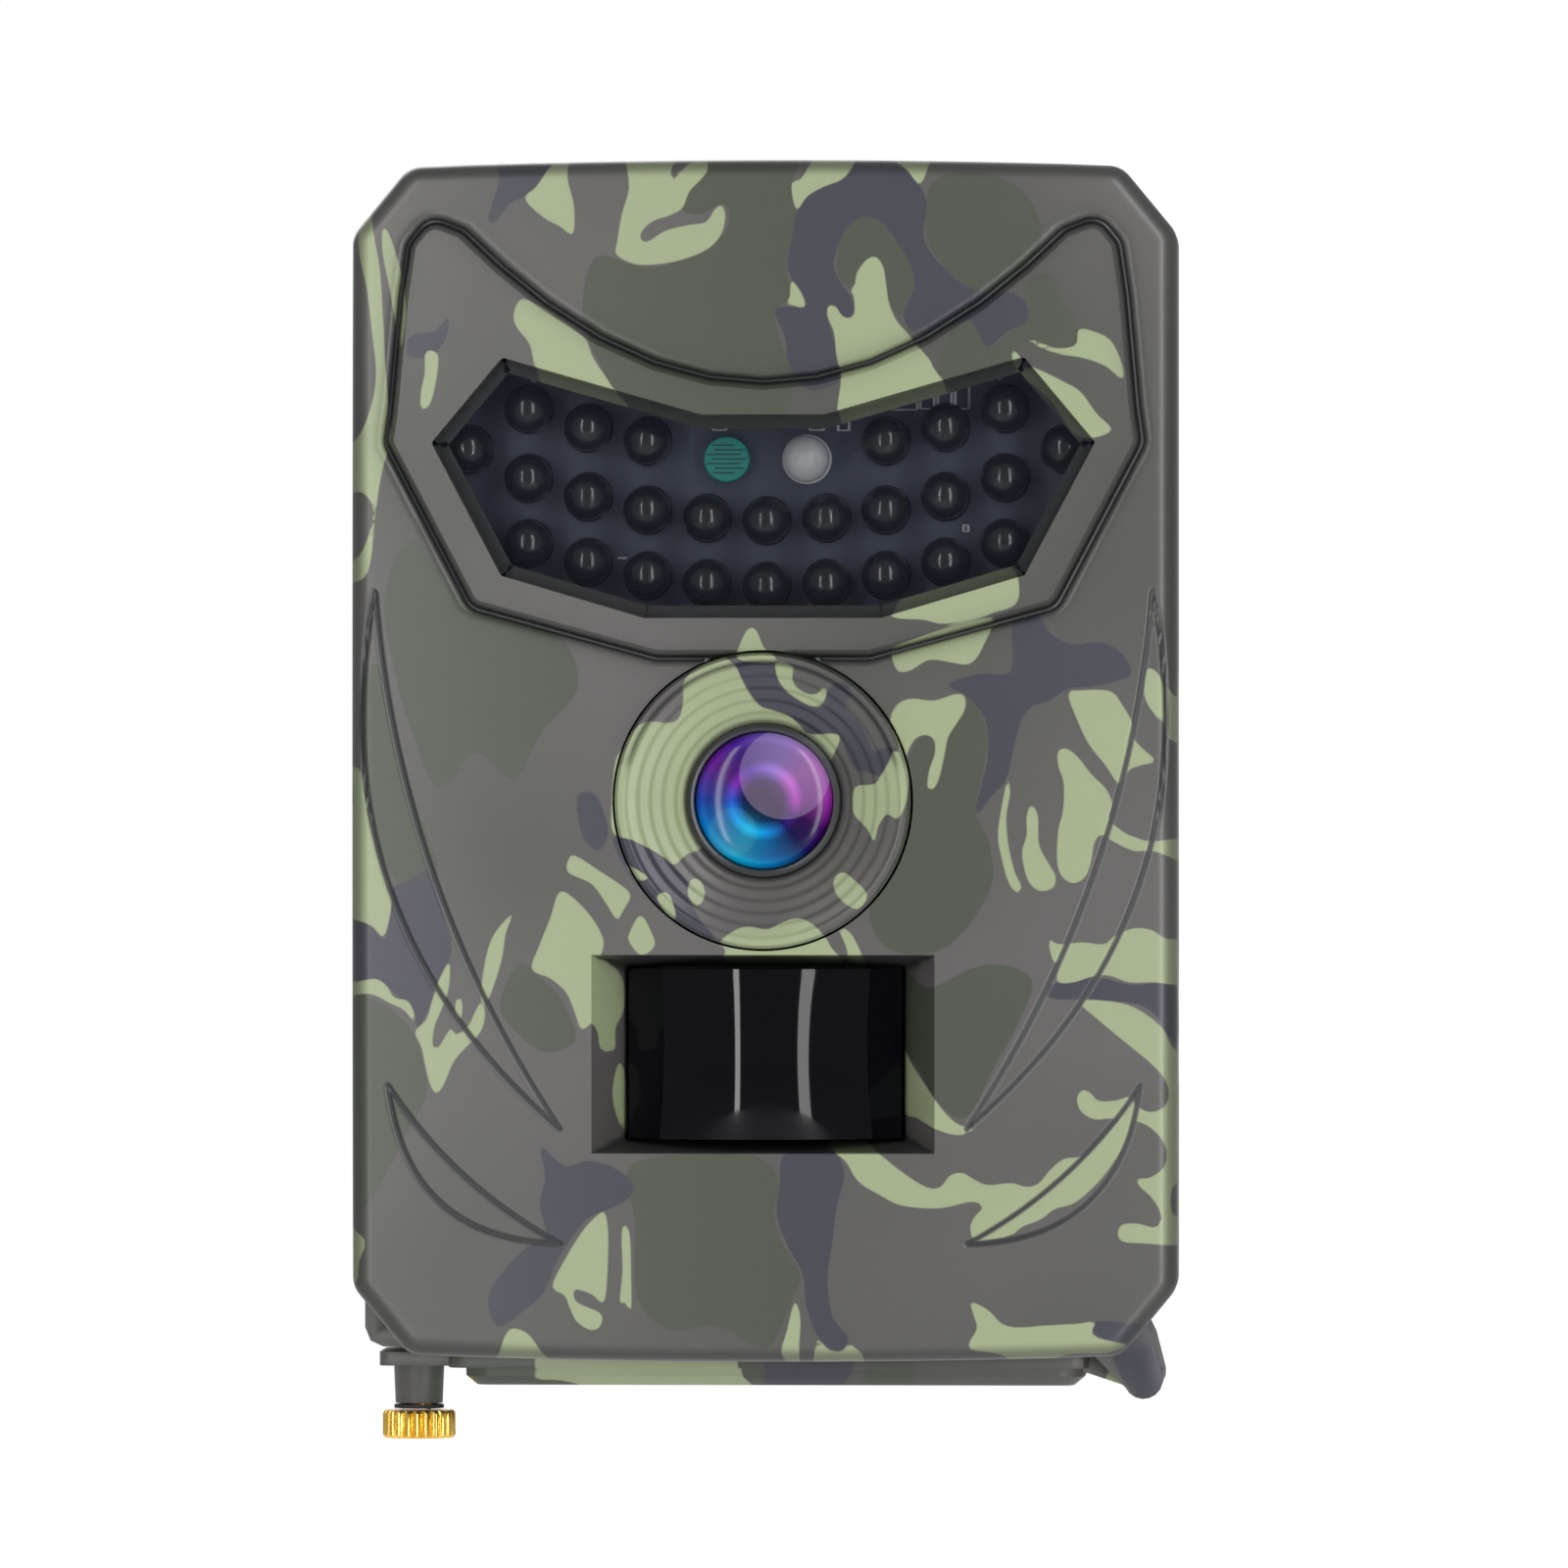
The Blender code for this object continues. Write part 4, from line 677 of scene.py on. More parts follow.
def plain(name, colour, roughness, metallic=0.0, grain=600, depth=0.00002, shade=0.85, alpha=1.0, coat=0.0,
          specular=0.5):
    """One colour with a slight drift and a fine grain."""
    m = Nodes(name, roughness, metallic)
    darker = tuple(c * shade for c in colour)
    m.shader.inputs["Alpha"].default_value = alpha
    m.shader.inputs["Coat Weight"].default_value = coat
    m.shader.inputs["Specular IOR Level"].default_value = specular
    m.bump(m.noise(grain, 2.0), depth, 0.6)
    return m.colour(m.mix(m.noise(40, 1.0), darker, colour))


# Painted reflections in the lens coatings: their colours once round from the left, then their brightness from
# the middle outwards.
REFLECTION_HUES_AROUND = (
    (0.0, (0.02, 0.10, 0.62)), (0.06, (0.0, 0.30, 0.85)), (0.17, (0.0, 0.62, 0.95)), (0.27, (0.0, 0.30, 0.75)),
    (0.36, (0.01, 0.01, 0.16)), (0.43, (0.07, 0.0, 0.16)), (0.50, (0.50, 0.04, 0.55)),
    (0.60, (0.70, 0.16, 0.75)), (0.70, (0.36, 0.20, 0.80)), (0.82, (0.10, 0.02, 0.45)),
    (0.90, (0.22, 0.02, 0.42)), (1.0, (0.02, 0.10, 0.62)),
)
REFLECTION_RINGS_OUTWARD = (
    (0.0, (0.0, 0.0, 0.02)), (0.16, (0.02, 0.02, 0.05)), (0.30, (0.16, 0.16, 0.2)), (0.38, (0.7, 0.7, 0.8)),
    (0.46, (1.5, 1.4, 1.5)), (0.53, (1.0, 0.95, 1.05)), (0.58, (0.55, 0.55, 0.6)), (0.80, (0.55, 0.55, 0.6)),
    (0.90, (0.9, 0.9, 0.95)), (0.97, (0.45, 0.45, 0.5)), (1.0, (0.05, 0.05, 0.06)),
)


def lens_painted_reflections():
    """Painted reflections of the lens coatings, blue, cyan, violet and magenta in rings round the middle, with
    two painted highlights, glowing on a near-black base.
    """
    m = Nodes("lens_painted_reflections", 0.12)
    where = m.add("ShaderNodeTexCoord")
    split = m.add("ShaderNodeSeparateXYZ")
    m.link(where.outputs["Object"], split.inputs[0])
    x = m.maths("MULTIPLY", split.outputs["X"], 1 / (GLASS_R * MM))
    z = m.maths("MULTIPLY", split.outputs["Z"], 1 / (GLASS_R * MM))
    angle = m.maths("ARCTAN2", z, x)
    turn = m.remap(angle, (-math.pi, math.pi), (0, 1))
    around = ramp(m, turn, REFLECTION_HUES_AROUND)
    out = m.maths("SQRT", m.maths("ADD", m.maths("MULTIPLY", x, x), m.maths("MULTIPLY", z, z)), 0)
    rings = ramp(m, out, REFLECTION_RINGS_OUTWARD)
    product = m.add("ShaderNodeMix", data_type="RGBA", blend_type="MULTIPLY")
    product.inputs[0].default_value = 1.0
    m.link(around, product.inputs[6])
    m.link(rings, product.inputs[7])
    colour = product.outputs[2]
    # Two painted highlights: a large pale violet one to the upper right and a small cyan one to the lower
    # left.
    for centre, radius, tint, share in (((0.30, 0.38), 0.66, (0.75, 0.60, 0.90), 0.24),
                                        ((-0.45, -0.45), 0.36, (0.25, 0.75, 0.90), 0.10)):
        dx = m.maths("SUBTRACT", x, centre[0])
        dz = m.maths("SUBTRACT", z, centre[1])
        far = m.maths("SQRT", m.maths("ADD", m.maths("MULTIPLY", dx, dx), m.maths("MULTIPLY", dz, dz)), 0)
        colour = m.mix(m.remap(far, (radius - 0.02, radius), (share, 0)), colour, tint)
    # Painted light: the lens glows with these colours through the emission, though it is no lamp.
    m.link(colour, m.shader.inputs["Emission Color"])
    m.shader.inputs["Emission Strength"].default_value = 0.62
    m.shader.inputs["Specular IOR Level"].default_value = 0.15
    m.shader.inputs["Base Color"].default_value = (0.002, 0.002, 0.005, 1)
    return m.material


def ramp(m, source, stops):
    """A colour ramp with the given (place, colour) stops."""
    node = m.add("ShaderNodeValToRGB")
    elements = node.color_ramp.elements
    while len(elements) < len(stops):
        elements.new(0.5)
    for element, (position, colour) in zip(elements, stops):
        element.position = position
        element.color = (*colour, 1.0)
    m.link(source, node.inputs["Fac"])
    return node.outputs["Color"]


def make_materials():
    return {
        "front": front_camo(),
        "shell": shell_camo(),
        "black": plain("black_plastic", (0.012, 0.013, 0.015), 0.35),
        "gloss": plain("gloss_black", (0.0006, 0.0006, 0.002), 0.05, grain=80, depth=0.000001, specular=0.16),
        "window": plain("smoked_window", (0.004, 0.006, 0.012), 0.05, alpha=0.22, depth=0.000001,
                        specular=0.3),
        "board": plain("solder_mask", (0.058, 0.072, 0.112), 0.42),
        "print": plain("board_print", (0.75, 0.78, 0.82), 0.6),
        "lamp": plain("lamp_epoxy", (0.016, 0.017, 0.021), 0.17, grain=80, depth=0.000001, specular=0.6),
        "clear": plain("clear_epoxy", (0.9, 0.92, 0.95), 0.06, alpha=0.5, grain=80, depth=0.000001),
        "teal": plain("sensor_teal", (0.012, 0.30, 0.27), 0.4),
        "teal_dark": plain("sensor_track", (0.002, 0.05, 0.05), 0.4),
        "rubber": plain("rubber", (0.016, 0.016, 0.017), 0.75, grain=1500),
        "gold": plain("polished_brass", (0.95, 0.60, 0.12), 0.2, 1.0, grain=900, depth=0.000006),
        "steel": plain("nickel_steel", (0.55, 0.55, 0.56), 0.28, 1.0, grain=900, depth=0.000006),
        "circuit": plain("main_board_mask", (0.010, 0.085, 0.035), 0.4),
        "cell": plain("cell_jacket", (0.10, 0.11, 0.13), 0.3, 0.4),
        "ribbon": plain("ribbon", (0.42, 0.24, 0.07), 0.4),
        "glass": lens_painted_reflections(),
    }


# ---------------------------------------------------------------- front cover

def crown_y(x, z):
    return FACE_Y + CROWN_X * (x / HALF_WIDTH) ** 2 + CROWN_Z * (z / EDGE_Z) ** 2


def step(value, low, high):
    t = np.clip((value - low) / (high - low), 0, 1)
    return t * t * (3 - 2 * t)


def face_y(points, outline, plateau):
    """Depth of the front face at each (x, z)."""
    inside = -distance_to(points, outline)
    lean = np.clip(EDGE_ROUND - inside, 0, EDGE_ROUND)
    edge = EDGE_ROUND - np.sqrt(EDGE_ROUND ** 2 - lean ** 2)
    gap = distance_to(points, plateau)
    rise = PLATEAU_RISE * (1 - step(gap, 0, RAMP))
    groove = GROOVE_DEPTH * np.exp(-((gap - GROOVE_AT) / (GROOVE_HALF * 0.7)) ** 2)
    return crown_y(points[:, 0], points[:, 1]) + edge - rise + groove


def along_outline(outline, gaps):
    """Extra points at set distances beside an outline, so that a step there stays crisp."""
    return np.concatenate([offset(fine(outline, 0.5), gap) for gap in gaps])


def face_points(loops, plateau, claws):
    """Points inside the face and clear of its openings: an even grid, closer beside the raised mask."""
    xs = np.arange(-HALF_WIDTH, HALF_WIDTH, GRID)
    zs = np.arange(-EDGE_Z - ARCH, EDGE_Z + ARCH, GRID)
    grid = np.array([(x + (GRID / 2 if i % 2 else 0), z) for i, z in enumerate(zs) for x in xs])
    grid = grid[np.abs(distance_to(grid, plateau)) > 1.75]
    beside = [along_outline(plateau, (-1.5, -1.1, -0.7, -0.35, 0, 0.3, 0.6, 0.85, 1.1, 1.35, 1.65))]
    for claw in claws:
        grid = grid[np.abs(distance_to(grid, claw, 3.0)) > 0.75]
        beside.append(along_outline(claw, (-0.6, -0.38, -0.2, 0, 0.2, 0.38, 0.6)))
    free = np.concatenate([grid] + beside)
    keep = distance_to(free, loops[0]) < -GRID * 0.4
    for hole in loops[1:]:
        keep &= distance_to(free, hole) > GRID * 0.4
    return free[keep]


class Skin:
    """Points and faces of the cover, put together from a flat sheet and rings of points round it."""

    def __init__(self, points, depth, triangles):
        self.vertices = [np.column_stack([points[:, 0], depth, points[:, 1]])]
        self.faces = [tuple(t) for t in triangles]

    def ring(self, xz, y):
        """Adds a ring and returns the index of its first point."""
        start = sum(len(v) for v in self.vertices)
        self.vertices.append(np.column_stack([xz[:, 0], np.broadcast_to(y, len(xz)), xz[:, 1]]))
        return start

    def wall(self, rings):
        """Joins rings of equal length, each given as (outline, depth)."""
        starts = [self.ring(xz, y) for xz, y in rings]
        for low, high in zip(starts, starts[1:]):
            self.faces.extend(strip_faces(low, high, len(rings[0][0])))


def face_sheet(loops, free):
    """Points and triangles that fill the first loop and leave the other loops open."""
    flat, edges = [], []
    for loop in loops:
        start = len(flat)
        flat += [tuple(p) for p in loop]
        edges += [(start + k, start + (k + 1) % len(loop)) for k in range(len(loop))]
    flat += [tuple(p) for p in free]
    made = geometry.delaunay_2d_cdt([Vector(p) for p in flat], edges, [], 0, 1e-5)
    points = np.array([tuple(v) for v in made[0]])
    triangles = np.array([tuple(f) for f in made[2]])
    middles = points[triangles].mean(1)
    keep = distance_to(middles, loops[0]) < 0
    for hole in loops[1:]:
        keep &= distance_to(middles, hole) > 0
    return points, triangles[keep]


def edge_rings(outline, plateau):
    """From the face over the rounded edge, down the side and in behind it."""
    inner = offset(outline, -EDGE_ROUND)
    rings = [(inner, face_y(inner, outline, plateau))]
    for k in range(1, EDGE_STEPS + 1):
        turn = math.pi / 2 * k / EDGE_STEPS
        loop = offset(outline, -EDGE_ROUND * (1 - math.sin(turn)))
        rings.append((loop, crown_y(loop[:, 0], loop[:, 1]) + EDGE_ROUND * (1 - math.cos(turn))))
    top = crown_y(outline[:, 0], outline[:, 1]) + EDGE_ROUND
    for k in range(1, SIDE_STEPS + 1):
        rings.append((outline, top + (SEAM_Y - 0.3 - top) * k / SIDE_STEPS))
    back = offset(outline, -WALL)
    return rings + [(offset(outline, -0.3), SEAM_Y), (back, SEAM_Y), (back, SEAM_Y - 8.0)]


def recess_rings(recess, outline, plateau):
    """Sloping walls from the face to the motion sensor's window."""
    floor = (recess - [0, PIR_Z]) * [PIR_HALF[0] / PIR_RECESS_HALF[0], PIR_HALF[1] / PIR_RECESS_HALF[1]]
    floor += [0, PIR_Z]
    edge = face_y(recess, outline, plateau)
    shares = (0.0, 0.2, 0.4, 0.6, 0.8, 1.0)
    rings = [(recess + (floor - recess) * t, edge + (PIR_FLOOR_Y - edge) * t) for t in shares]
    return rings + [(floor, PIR_FLOOR_Y + 2.0)]


def front_cover(materials):
    outline = housing_outline()
    plateau = np.array(plateau_outline())
    claws = claw_outlines()
    window = fine(window_outline(), 0.5)
    lens_hole = circle(BEZEL_R + 0.25, 200, (0, LENS_Z))
    recess = rectangle(PIR_RECESS_HALF, PIR_Z, 0.4)
    loops = [offset(outline, -EDGE_ROUND), window, lens_hole, recess]
    points, triangles = face_sheet(loops, face_points(loops, plateau, claws))
    skin = Skin(points, face_y(points, outline, plateau), triangles)
    skin.wall(edge_rings(outline, plateau))
    ledge = offset(window, -1.4)
    front = face_y(window, outline, plateau)
    skin.wall([(window, front), (window, -45.8), (ledge, -45.8), (ledge, -44.5)])
    skin.wall([(lens_hole, face_y(lens_hole, outline, plateau)), (lens_hole, -43.0)])
    skin.wall(recess_rings(recess, outline, plateau))
    vertices = np.concatenate(skin.vertices)
    obj = add_mesh("cover_skin", vertices, skin.faces, materials["front"], smooth=False)
    folded = folded_points(vertices)
    # Distance to the groove lines, which the front material paints near black as painted shade. The cover's
    # painted shade is passed in as well.
    groove = np.min([np.abs(distance_to(folded, c, 3.0)) for c in claws], axis=0)
    groove = np.minimum(groove, np.abs(distance_to(folded, plateau) - MASK_LINE))
    paint(obj, folded, groove, cover_shade(vertices, outline, plateau, recess))
    weld(obj)
    obj.data.shade_smooth()
    obj.data.set_sharp_from_angle(angle=math.radians(38))
    return place(obj, "housing", "front_cover")


def cover_shade(vertices, outline, plateau, recess):
    """Painted shade: darker colour on the rounded edge, in and around the mask's groove and on the walls of
    the openings.
    """
    xz = vertices[:, [0, 2]]
    depth = vertices[:, 1] - crown_y(xz[:, 0], xz[:, 1])
    edge = 0.75 * step(distance_to(xz, outline), -1.9, -0.6) * (depth < 4)
    gap = distance_to(xz, plateau)
    groove = 0.85 * np.exp(-((gap - GROOVE_AT + 0.25) / 0.5) ** 2)
    halo = 0.35 * np.exp(-((gap - GROOVE_AT) / 1.6) ** 2)
    deep = step(depth, 0.3, 1.2) * (distance_to(xz, outline) < -4)
    across = np.abs(xz[:, 1] - PIR_Z) / PIR_RECESS_HALF[1]
    sides = (np.abs(xz[:, 0]) / PIR_RECESS_HALF[0] > across) & (distance_to(xz, recess) < 0.05)
    above_lens = xz[:, 1] > 10
    # Painted shade is strongest on the lens opening's walls and on the top and bottom walls of the motion
    # sensor's recess. The window's walls get less, and the recess's side walls get none.
    walls = deep * np.where(sides, 0.0, np.where(above_lens, 0.7, 1.2))
    return np.max([edge, groove, halo, walls], axis=0)


def folded_points(vertices):
    """Where the pattern is read for each point: on the sides it is folded back in from the edge."""
    xz = vertices[:, [0, 2]]
    depth = np.maximum(0, vertices[:, 1] - (crown_y(xz[:, 0], xz[:, 1]) + EDGE_ROUND))
    inward = -xz / np.maximum(np.linalg.norm(xz, axis=1), 1e-6)[:, None]
    on_side = (distance_to(xz, housing_outline()) > -0.05) & (depth > 0)
    return xz + inward * (depth * on_side)[:, None]


# ---------------------------------------------------------------- face fittings

def lens_bezel(materials):
    """A dish with fine steps and, over its upper half, a raised lip."""
    turns = 256
    rim, foot = [16.0, 16.0, 15.9, 15.65], [DISH_FOOT, DISH_FOOT]
    radii = np.concatenate([rim, np.arange(15.4, DISH_FOOT, -0.16), foot])
    vertices, flat = [], []
    for i, radius in enumerate(radii):
        for k in range(turns):
            angle = math.tau * k / turns
            x, z = radius * math.cos(angle), radius * math.sin(angle)
            vertices.append((x, bezel_y(radius, angle, i, len(radii)), LENS_Z + z))
            flat.append((x, LENS_Z + z))
    faces = []
    for i in range(len(radii) - 1):
        faces += strip_faces(i * turns, (i + 1) * turns, turns)
    obj = add_mesh("bezel_skin", vertices, faces, materials["front"], sharp=35)
    flat = np.array(flat)
    away = np.hypot(flat[:, 0], flat[:, 1] - LENS_Z)
    up = step((flat[:, 1] - LENS_Z) / np.maximum(away, 1), 0.1, 0.45)
    # Painted shade: a dark line under the upper lip, a dark outer rim, and darker towards the dish's foot.
    line = 0.9 * np.exp(-((away - 15.05) / 0.22) ** 2) * up + 0.5 * step(away, 15.6, 15.95)
    paint(obj, flat, shade=np.maximum(line, 0.8 * step(-away, -9.1, -8.5)))
    return place(obj, "housing", "lens_bezel")


def bezel_y(radius, angle, index, count):
    """Depth of the bezel. Steps of 1.35 mm run down the dish, and the lip ends a little below the middle."""
    if index == 0 or index == count - 1:
        return -44.0
    share = (15.0 - radius) / (15.0 - DISH_FOOT)
    tread = share * 5
    riser = math.floor(tread) + min(1.0, (tread - math.floor(tread)) / 0.25)
    dish = -49.3 + 3.9 * max(0.0, 0.28 * riser / 5 + 0.72 * share) ** 1.1
    up = math.sin(angle)
    lip = step(up, 0.22, 0.34) * (step(radius, 14.7, 15.0) - 0.6 * step(radius, 15.75, 16.0))
    edge = 0.35 * step(radius, 15.7, 16.0)
    return min(dish, -48.9) * (radius > 15.0) + dish * (radius <= 15.0) - 0.85 * lip + edge


def lens(materials):
    centre = (0, LENS_Z)
    ring = [(8.35, -41.2), (8.35, -46.0), (8.2, -46.35), (7.9, -46.5), (7.6, -46.4), (7.5, -46.1),
            (7.5, -43.2), (6.2, -43.2), (6.2, -41.2)]
    place(turned("lens_ring_skin", ring, centre, materials["black"]), "housing", "lens_ring")
    angles = [math.pi / 2 * k / 12 for k in range(13)]
    dome = [(7.35 * math.sin(a), -45.2 - 1.4 * math.cos(a)) for a in angles]
    profile = [(0, -43.7)] + [(0, dome[0][1])] + dome[1:] + [(7.35, -43.7)]
    glass = turned("lens_glass_skin", [(r, y) for r, y in profile], (0, 0), materials["glass"], steps=96)
    glass.location.z = LENS_Z * MM
    place(glass, "housing", "lens_glass")


def led_places():
    places = [(side * LED_TIP[0], LED_TIP[1]) for side in (-1, 1)]
    for level, columns in LED_ROWS:
        for k in columns:
            for side in ((-1, 1) if k else (1,)):
                places.append((side * k * LED_PITCH, level + LED_RISE * k * k))
    return places


def lamp_profile(radius, base, height):
    """A 5 mm lamp: flange, barrel and round dome."""
    tip = base - height
    dome = [(radius * math.cos(a), tip + radius * (1 - math.sin(a)) * 0.95) for a in
            [math.pi / 2 * k / 10 for k in range(11)]]
    flange = [(0, base), (radius + 0.2, base), (radius + 0.2, base - 0.9), (radius, base - 1.0)]
    return flange + dome[:-1] + [(0, tip)]


def lamp_board(materials):
    outline = offset(fine(window_outline(), 2.0), 1.1)
    count = len(outline)
    front, back = LED_BOARD_FRONT, LED_BOARD_FRONT + 1.6
    vertices = [(x, front, z) for x, z in outline] + [(x, back, z) for x, z in outline]
    faces = strip_faces(0, count, count) + [tuple(range(count))[::-1], tuple(range(count, 2 * count))]
    board = add_mesh("lamp_board_skin", vertices, faces, materials["board"])
    place(board, "housing", "led_board")
    for number, centre in enumerate(led_places(), 1):
        profile = lamp_profile(LAMP_R, front - 0.05, 6.7)
        lamp = turned(f"lamp_{number:02d}", profile, centre, materials["lamp"], steps=32)
        place(lamp, "housing")
    board_print(materials)
    light_sensor(materials)
    status_lamp(materials)


def board_print(materials):
    """White outlines of small parts, printed near the board's upper edge."""
    y = LED_BOARD_FRONT - 0.12
    outlines = [(x, 39.6, 1.5, 2.6) for x in (17.4, 19.3, 21.2)]
    outlines += [(14.2, 38.6, 4.2, 0.8), (24.2, 42.0, 2.4, 0.9), (5.4, 36.6, 1.5, 1.2), (8.3, 36.6, 1.2, 1.3),
                 (-5.2, 36.5, 1.4, 1.0), (-24.4, 41.6, 2.4, 0.5), (-32.7, 29.3, 0.6, 0.8),
                 (21.6, 25.3, 0.5, 0.7), (34.3, 34.2, 0.8, 0.5), (-15.8, 22.1, 0.8, 0.1)]
    boxes = []
    for x, z, wide, high in outlines:
        strokes = ((0, high / 2, wide, PRINT_WIDTH), (0, -high / 2, wide, PRINT_WIDTH),
                   (wide / 2, 0, PRINT_WIDTH, high), (-wide / 2, 0, PRINT_WIDTH, high))
        for dx, dz, w, h in strokes:
            across, upright = spread(x + dx, (w + PRINT_WIDTH) / 2), spread(z + dz, h / 2)
            boxes.append((across, (y, y + 0.1), upright))
    place(add_mesh("board_print", *box_mesh(boxes), materials["print"], smooth=False), "housing")


def light_sensor(materials):
    """A teal disc with a winding track, in a clear round cap."""
    x, z = -SENSOR_PAIR[0], SENSOR_PAIR[1]
    front = LED_BOARD_FRONT - 2.4
    back = LED_BOARD_FRONT - 0.3
    disc = [(0, back), (2.5, back), (2.5, front + 0.15), (2.35, front), (0, front)]
    place(turned("light_sensor_skin", disc, (x, z), materials["teal"]), "housing", "photoresistor")
    boxes = []
    for k in range(-3, 4):
        half = math.sqrt(1.9 ** 2 - (0.5 * k) ** 2)
        middle = x + 0.3 * (-1) ** k
        level = z + 0.5 * k
        boxes.append((spread(middle, half), (front - 0.06, front + 0.02), spread(level, PRINT_WIDTH / 2)))
    track = add_mesh("light_sensor_track", *box_mesh(boxes), materials["teal_dark"], smooth=False)
    place(track, "housing")


def status_lamp(materials):
    x, z = SENSOR_PAIR
    base = LED_BOARD_FRONT - 0.3
    lamp = turned("status_lamp_skin", lamp_profile(LAMP_R, base, 6.6), (x, z), materials["clear"])
    place(lamp, "housing", "status_led")
    cup = [(0, base - 1.6), (0.8, base - 1.6), (1.5, base - 2.6), (1.6, base - 2.6), (1.6, base - 1.2),
           (0, base - 1.2)]
    place(turned("status_lamp_cup", cup, (x, z), materials["steel"], steps=32), "housing")


def lamp_window(materials):
    outline = offset(fine(window_outline(), 2.0), -0.15)
    count = len(outline)
    rings = [(0.0, -46.0), (0.0, WINDOW_FRONT_Y + 0.2), (-0.2, WINDOW_FRONT_Y)]
    vertices, faces = [], []
    for gap, y in rings:
        vertices += [(x, y, z) for x, z in offset(outline, gap)]
    for k in range(len(rings) - 1):
        faces += strip_faces(k * count, (k + 1) * count, count)
    faces += [tuple(range(count))[::-1], tuple(range(2 * count, 3 * count))]
    place(add_mesh("lamp_window_skin", vertices, faces, materials["window"]), "housing", "led_window")


def motion_window(materials):
    """Curved about the vertical, and slightly hollow from top to bottom."""
    half_x, half_z = PIR_HALF[0] - 0.25, PIR_HALF[1] - 0.25
    across, upright = 64, 24
    vertices, faces = [], []
    for j in range(upright + 1):
        v = -1 + 2 * j / upright
        for i in range(across + 1):
            u = -1 + 2 * i / across
            bulge = (1 - u * u) * (6.3 + 1.2 * (1 - v * v))
            vertices.append((half_x * u, -42.8 - max(bulge, 0.0), PIR_Z + half_z * v))
    width = across + 1
    faces += [(j * width + i, j * width + i + 1, (j + 1) * width + i + 1, (j + 1) * width + i)
              for j in range(upright) for i in range(across)]
    rim = [i for i in range(width)] + [j * width + across for j in range(1, upright + 1)]
    rim += [upright * width + i for i in range(across - 1, -1, -1)]
    rim += [j * width for j in range(upright - 1, 0, -1)]
    start = len(vertices)
    vertices += [(vertices[i][0], -38.4, vertices[i][2]) for i in rim]
    count = len(rim)
    faces += [(rim[k], rim[(k + 1) % count], start + (k + 1) % count, start + k) for k in range(count)]
    faces.append(tuple(range(start, start + count)))
    place(add_mesh("motion_window_skin", vertices, faces, materials["gloss"]), "housing", "pir_lens")


# ---------------------------------------------------------------- underside

def thumbscrew(materials):
    """Straight knurls, a screwdriver slot across the head, and a threaded shank."""
    top = -70.9
    knurls, per = 22, 6
    turns = knurls * per
    profile = [(0.55, top - 3.5), (0.94, top - 3.5), (1.0, top - 3.2), (1.0, top - 0.8), (0.95, top - 0.5),
               (0.5, top - 0.5)]
    vertices, faces = [], []
    for share, level in profile:
        for k in range(turns):
            wave = abs((k % per) / per * 2 - 1)
            radius = 4.0 * share if share < 0.9 else share * (4.0 - 0.42 * wave ** 2)
            a = math.tau * k / turns
            vertices.append((SCREW[0] + radius * math.cos(a), SCREW[1] + radius * math.sin(a), level))
    for i in range(len(profile) - 1):
        faces += strip_faces(i * turns, (i + 1) * turns, turns)
    faces += [tuple(range(turns)), tuple(range(5 * turns, 6 * turns))]
    head = add_mesh("thumbscrew_head", vertices, faces, materials["gold"], sharp=30)
    cutter = block("slot_cutter", (SCREW[0] - 6, SCREW[0] + 6), (SCREW[1] - 0.5, SCREW[1] + 0.5),
                   (top - 5, top - 2.6), None)
    modifier = head.modifiers.new("slot", "BOOLEAN")
    modifier.operation = "DIFFERENCE"
    modifier.object = cutter
    bpy.context.view_layer.update()
    graph = bpy.context.evaluated_depsgraph_get()
    head.data = bpy.data.meshes.new_from_object(head.evaluated_get(graph))
    head.modifiers.clear()
    bpy.data.objects.remove(cutter)
    head.data.set_sharp_from_angle(angle=math.radians(30))
    place(head, "screw", "thumbscrew")
    place(screw_shank(materials, top), "screw")


def screw_shank(materials, top):
    """The shank's thread, as a helical ridge with a pitch of half a millimetre."""
    pitch, turns = 0.5, 24
    low, high = top - 0.5, -59.4
    count = int((high - low) / pitch * turns)
    vertices, faces = [], []
    for k in range(count + 1):
        a = math.tau * k / turns
        z = low + pitch * k / turns
        taper = min(1.0, (high - z) / 0.8 + 0.45)
        for radius, rise in ((1.16, 0.0), (1.4, 0.2), (1.4, 0.3), (1.16, 0.5)):
            r = radius * taper
            vertices.append((SCREW[0] + r * math.cos(a), SCREW[1] + r * math.sin(a), min(z + rise, high)))
    for k in range(count):
        faces += [(4 * k + j, 4 * k + j + 1, 4 * k + j + 5, 4 * k + j + 4) for j in range(3)]
    return add_mesh("thumbscrew_thread", vertices, faces, materials["gold"], sharp=30)


# ---------------------------------------------------------------- the rest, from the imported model's shapes

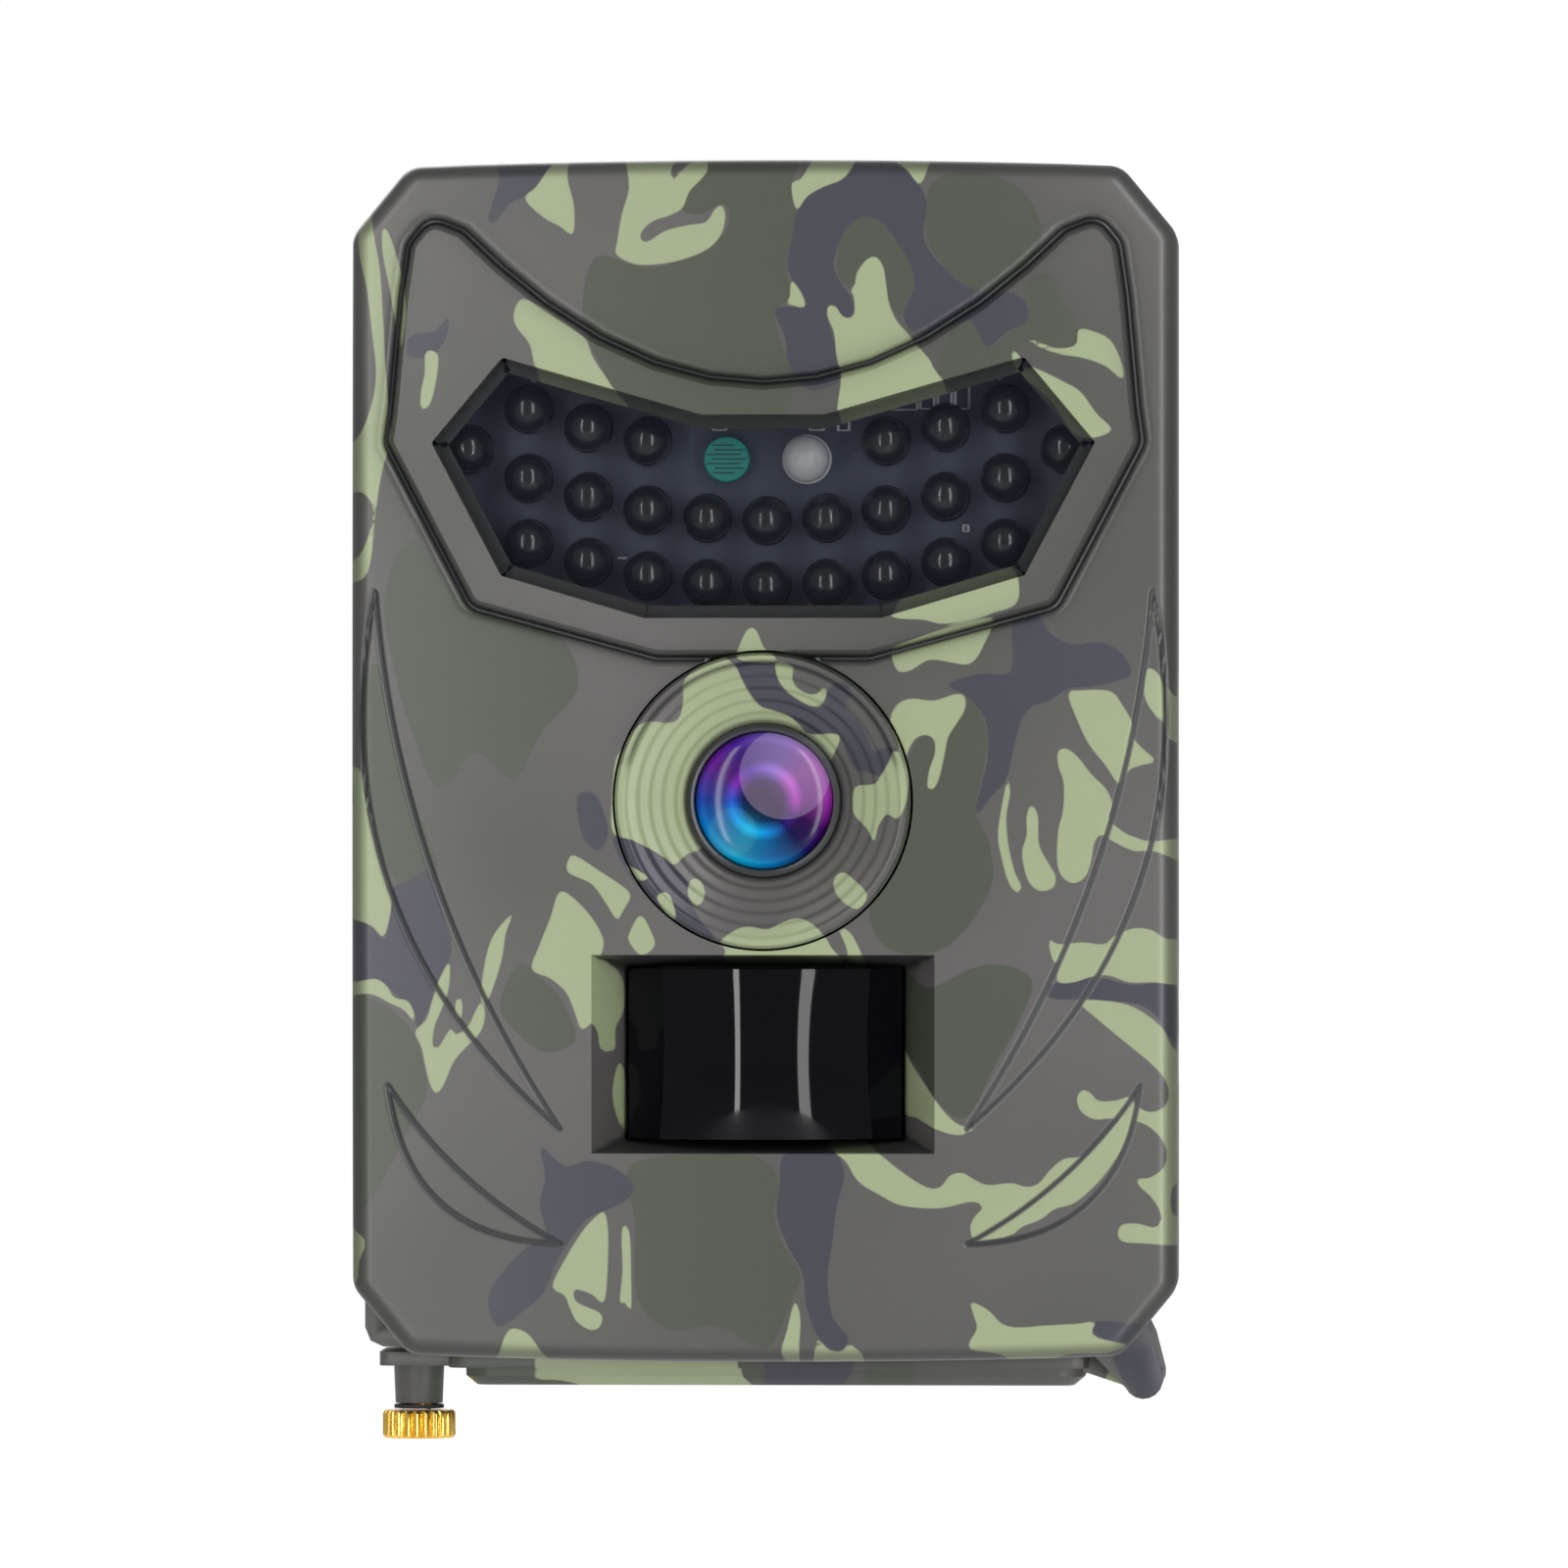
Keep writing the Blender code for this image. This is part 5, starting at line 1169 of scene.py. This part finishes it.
def carried(materials):
    """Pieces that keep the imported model's shape, with their edges rounded and their own finish."""
    rounded_nodes = (
        ("rear_shell", "shell", 0.35, "housing"), ("battery_door", "shell", 0.3, "door"),
        ("battery_box", "black", 0.3, "housing"), ("lens_holder", "black", 0.2, "housing"),
        ("main_board", "circuit", 0.1, "housing"), ("control_panel", "black", 0.1, "housing"),
        ("usb_socket", "steel", 0.1, "housing"), ("card_slot", "steel", 0.1, "housing"),
        ("memory_card", "black", 0.1, "card"), ("mode_switch_knob", "black", 0.15, "mode_knob"),
        ("mode_switch_body", "steel", 0.1, "housing"),
    )
    for node, material, width, body in rounded_nodes:
        from_cad(node, materials[material], width, body)
    finishes = {
        "rubber": ("case_seal", "door_seal", "thumbscrew_washer"),
        "gold": ("thumbscrew_insert", "tripod_insert"),
        "black": ("ir_cut_slider", "image_sensor", "lens_barrel"),
        "ribbon": ("led_ribbon",),
        "cell": tuple(f"cell_{k}" for k in range(1, 5)),
        "steel": ("case_screw_1", "case_screw_2", "case_screw_3", "case_screw_4", "door_hinge_pin",
                  "pir_sensor",
                  "microphone", "contact_positive", "contact_bridge_top", "contact_negative", "spring_top_2",
                  "spring_top_4", "contact_bridge_door_1", "contact_bridge_door_2", "spring_door_1",
                  "spring_door_2"),
    }
    for material, names in finishes.items():
        for name in names:
            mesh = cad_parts[name].data
            mesh.materials.clear()
            mesh.materials.append(materials[material])
            mesh.shade_smooth()
            mesh.set_sharp_from_angle(angle=math.radians(32))


# ---------------------------------------------------------------- stage

def area_light(name, azimuth, elevation, distance, width, height, power, aim=(0, -40, 0)):
    """A soft light that faces the camera body from that direction. Azimuth 0 is in front, 90 to its right."""
    a, e = math.radians(azimuth), math.radians(elevation)
    away = Vector((math.sin(a) * math.cos(e), -math.cos(a) * math.cos(e), math.sin(e)))
    light = bpy.data.lights.new(name, "AREA")
    light.shape = "RECTANGLE"
    light.size = width
    light.size_y = height
    light.energy = power
    obj = bpy.data.objects.new(name, light)
    obj.location = Vector(aim) * MM + away * distance
    obj.rotation_euler = away.to_track_quat("Z", "Y").to_euler()
    bpy.context.scene.collection.objects.link(obj)


def camera_rays(tree, hidden, shown):
    """A number that differs between what the camera sees and what lights the object."""
    path = tree.nodes.new("ShaderNodeLightPath")
    level = tree.nodes.new("ShaderNodeMapRange")
    level.inputs["To Min"].default_value = hidden
    level.inputs["To Max"].default_value = shown
    tree.links.new(path.outputs["Is Camera Ray"], level.inputs["Value"])
    return level.outputs["Result"]


def floor_material():
    """Near-white, and bright enough to look white away from the lamps too."""
    m = Nodes("floor_white", 0.6)
    m.shader.inputs["Base Color"].default_value = (0.93, 0.93, 0.93, 1)
    m.shader.inputs["Emission Color"].default_value = (1, 1, 1, 1)
    m.link(camera_rays(m.tree, 0.0, 0.55), m.shader.inputs["Emission Strength"])
    return m.material


def stage():
    scene = bpy.context.scene
    scene.view_settings.view_transform = "Standard"
    world = bpy.data.worlds.new("studio")
    world.use_nodes = True
    tree = world.node_tree
    background = tree.nodes["Background"]
    background.inputs["Color"].default_value = (1, 1, 1, 1)
    tree.links.new(camera_rays(tree, ROOM_LIGHT, 1.0), background.inputs["Strength"])
    scene.world = world
    block("floor", (-4000, 4000), (-4000, 4000), (-402, -400), floor_material())
    area_light("strip_left", -23, 5, 1.0, 0.07, 1.2, 5)
    area_light("strip_right", 31, 8, 1.0, 0.15, 1.2, 7)
    area_light("behind", 205, 30, 1.4, 1.0, 1.0, 9)


def camera():
    aim = Vector(CAMERA_AIM) * MM
    azimuth = math.radians(CAMERA_AZIMUTH)
    away = Vector((math.sin(azimuth), -math.cos(azimuth), 0.0))
    data = bpy.data.cameras.new("view")
    data.lens = CAMERA_LENS
    data.sensor_width = 36
    data.dof.use_dof = False
    obj = bpy.data.objects.new("view", data)
    obj.location = aim + away * CAMERA_DISTANCE
    obj.rotation_euler = away.to_track_quat("Z", "Y").to_euler()
    bpy.context.scene.collection.objects.link(obj)
    bpy.context.scene.camera = obj


def main():
    materials = make_materials()
    front_cover(materials)
    lens_bezel(materials)
    lens(materials)
    lamp_board(materials)
    lamp_window(materials)
    motion_window(materials)
    thumbscrew(materials)
    carried(materials)
    stage()
    camera()


main()
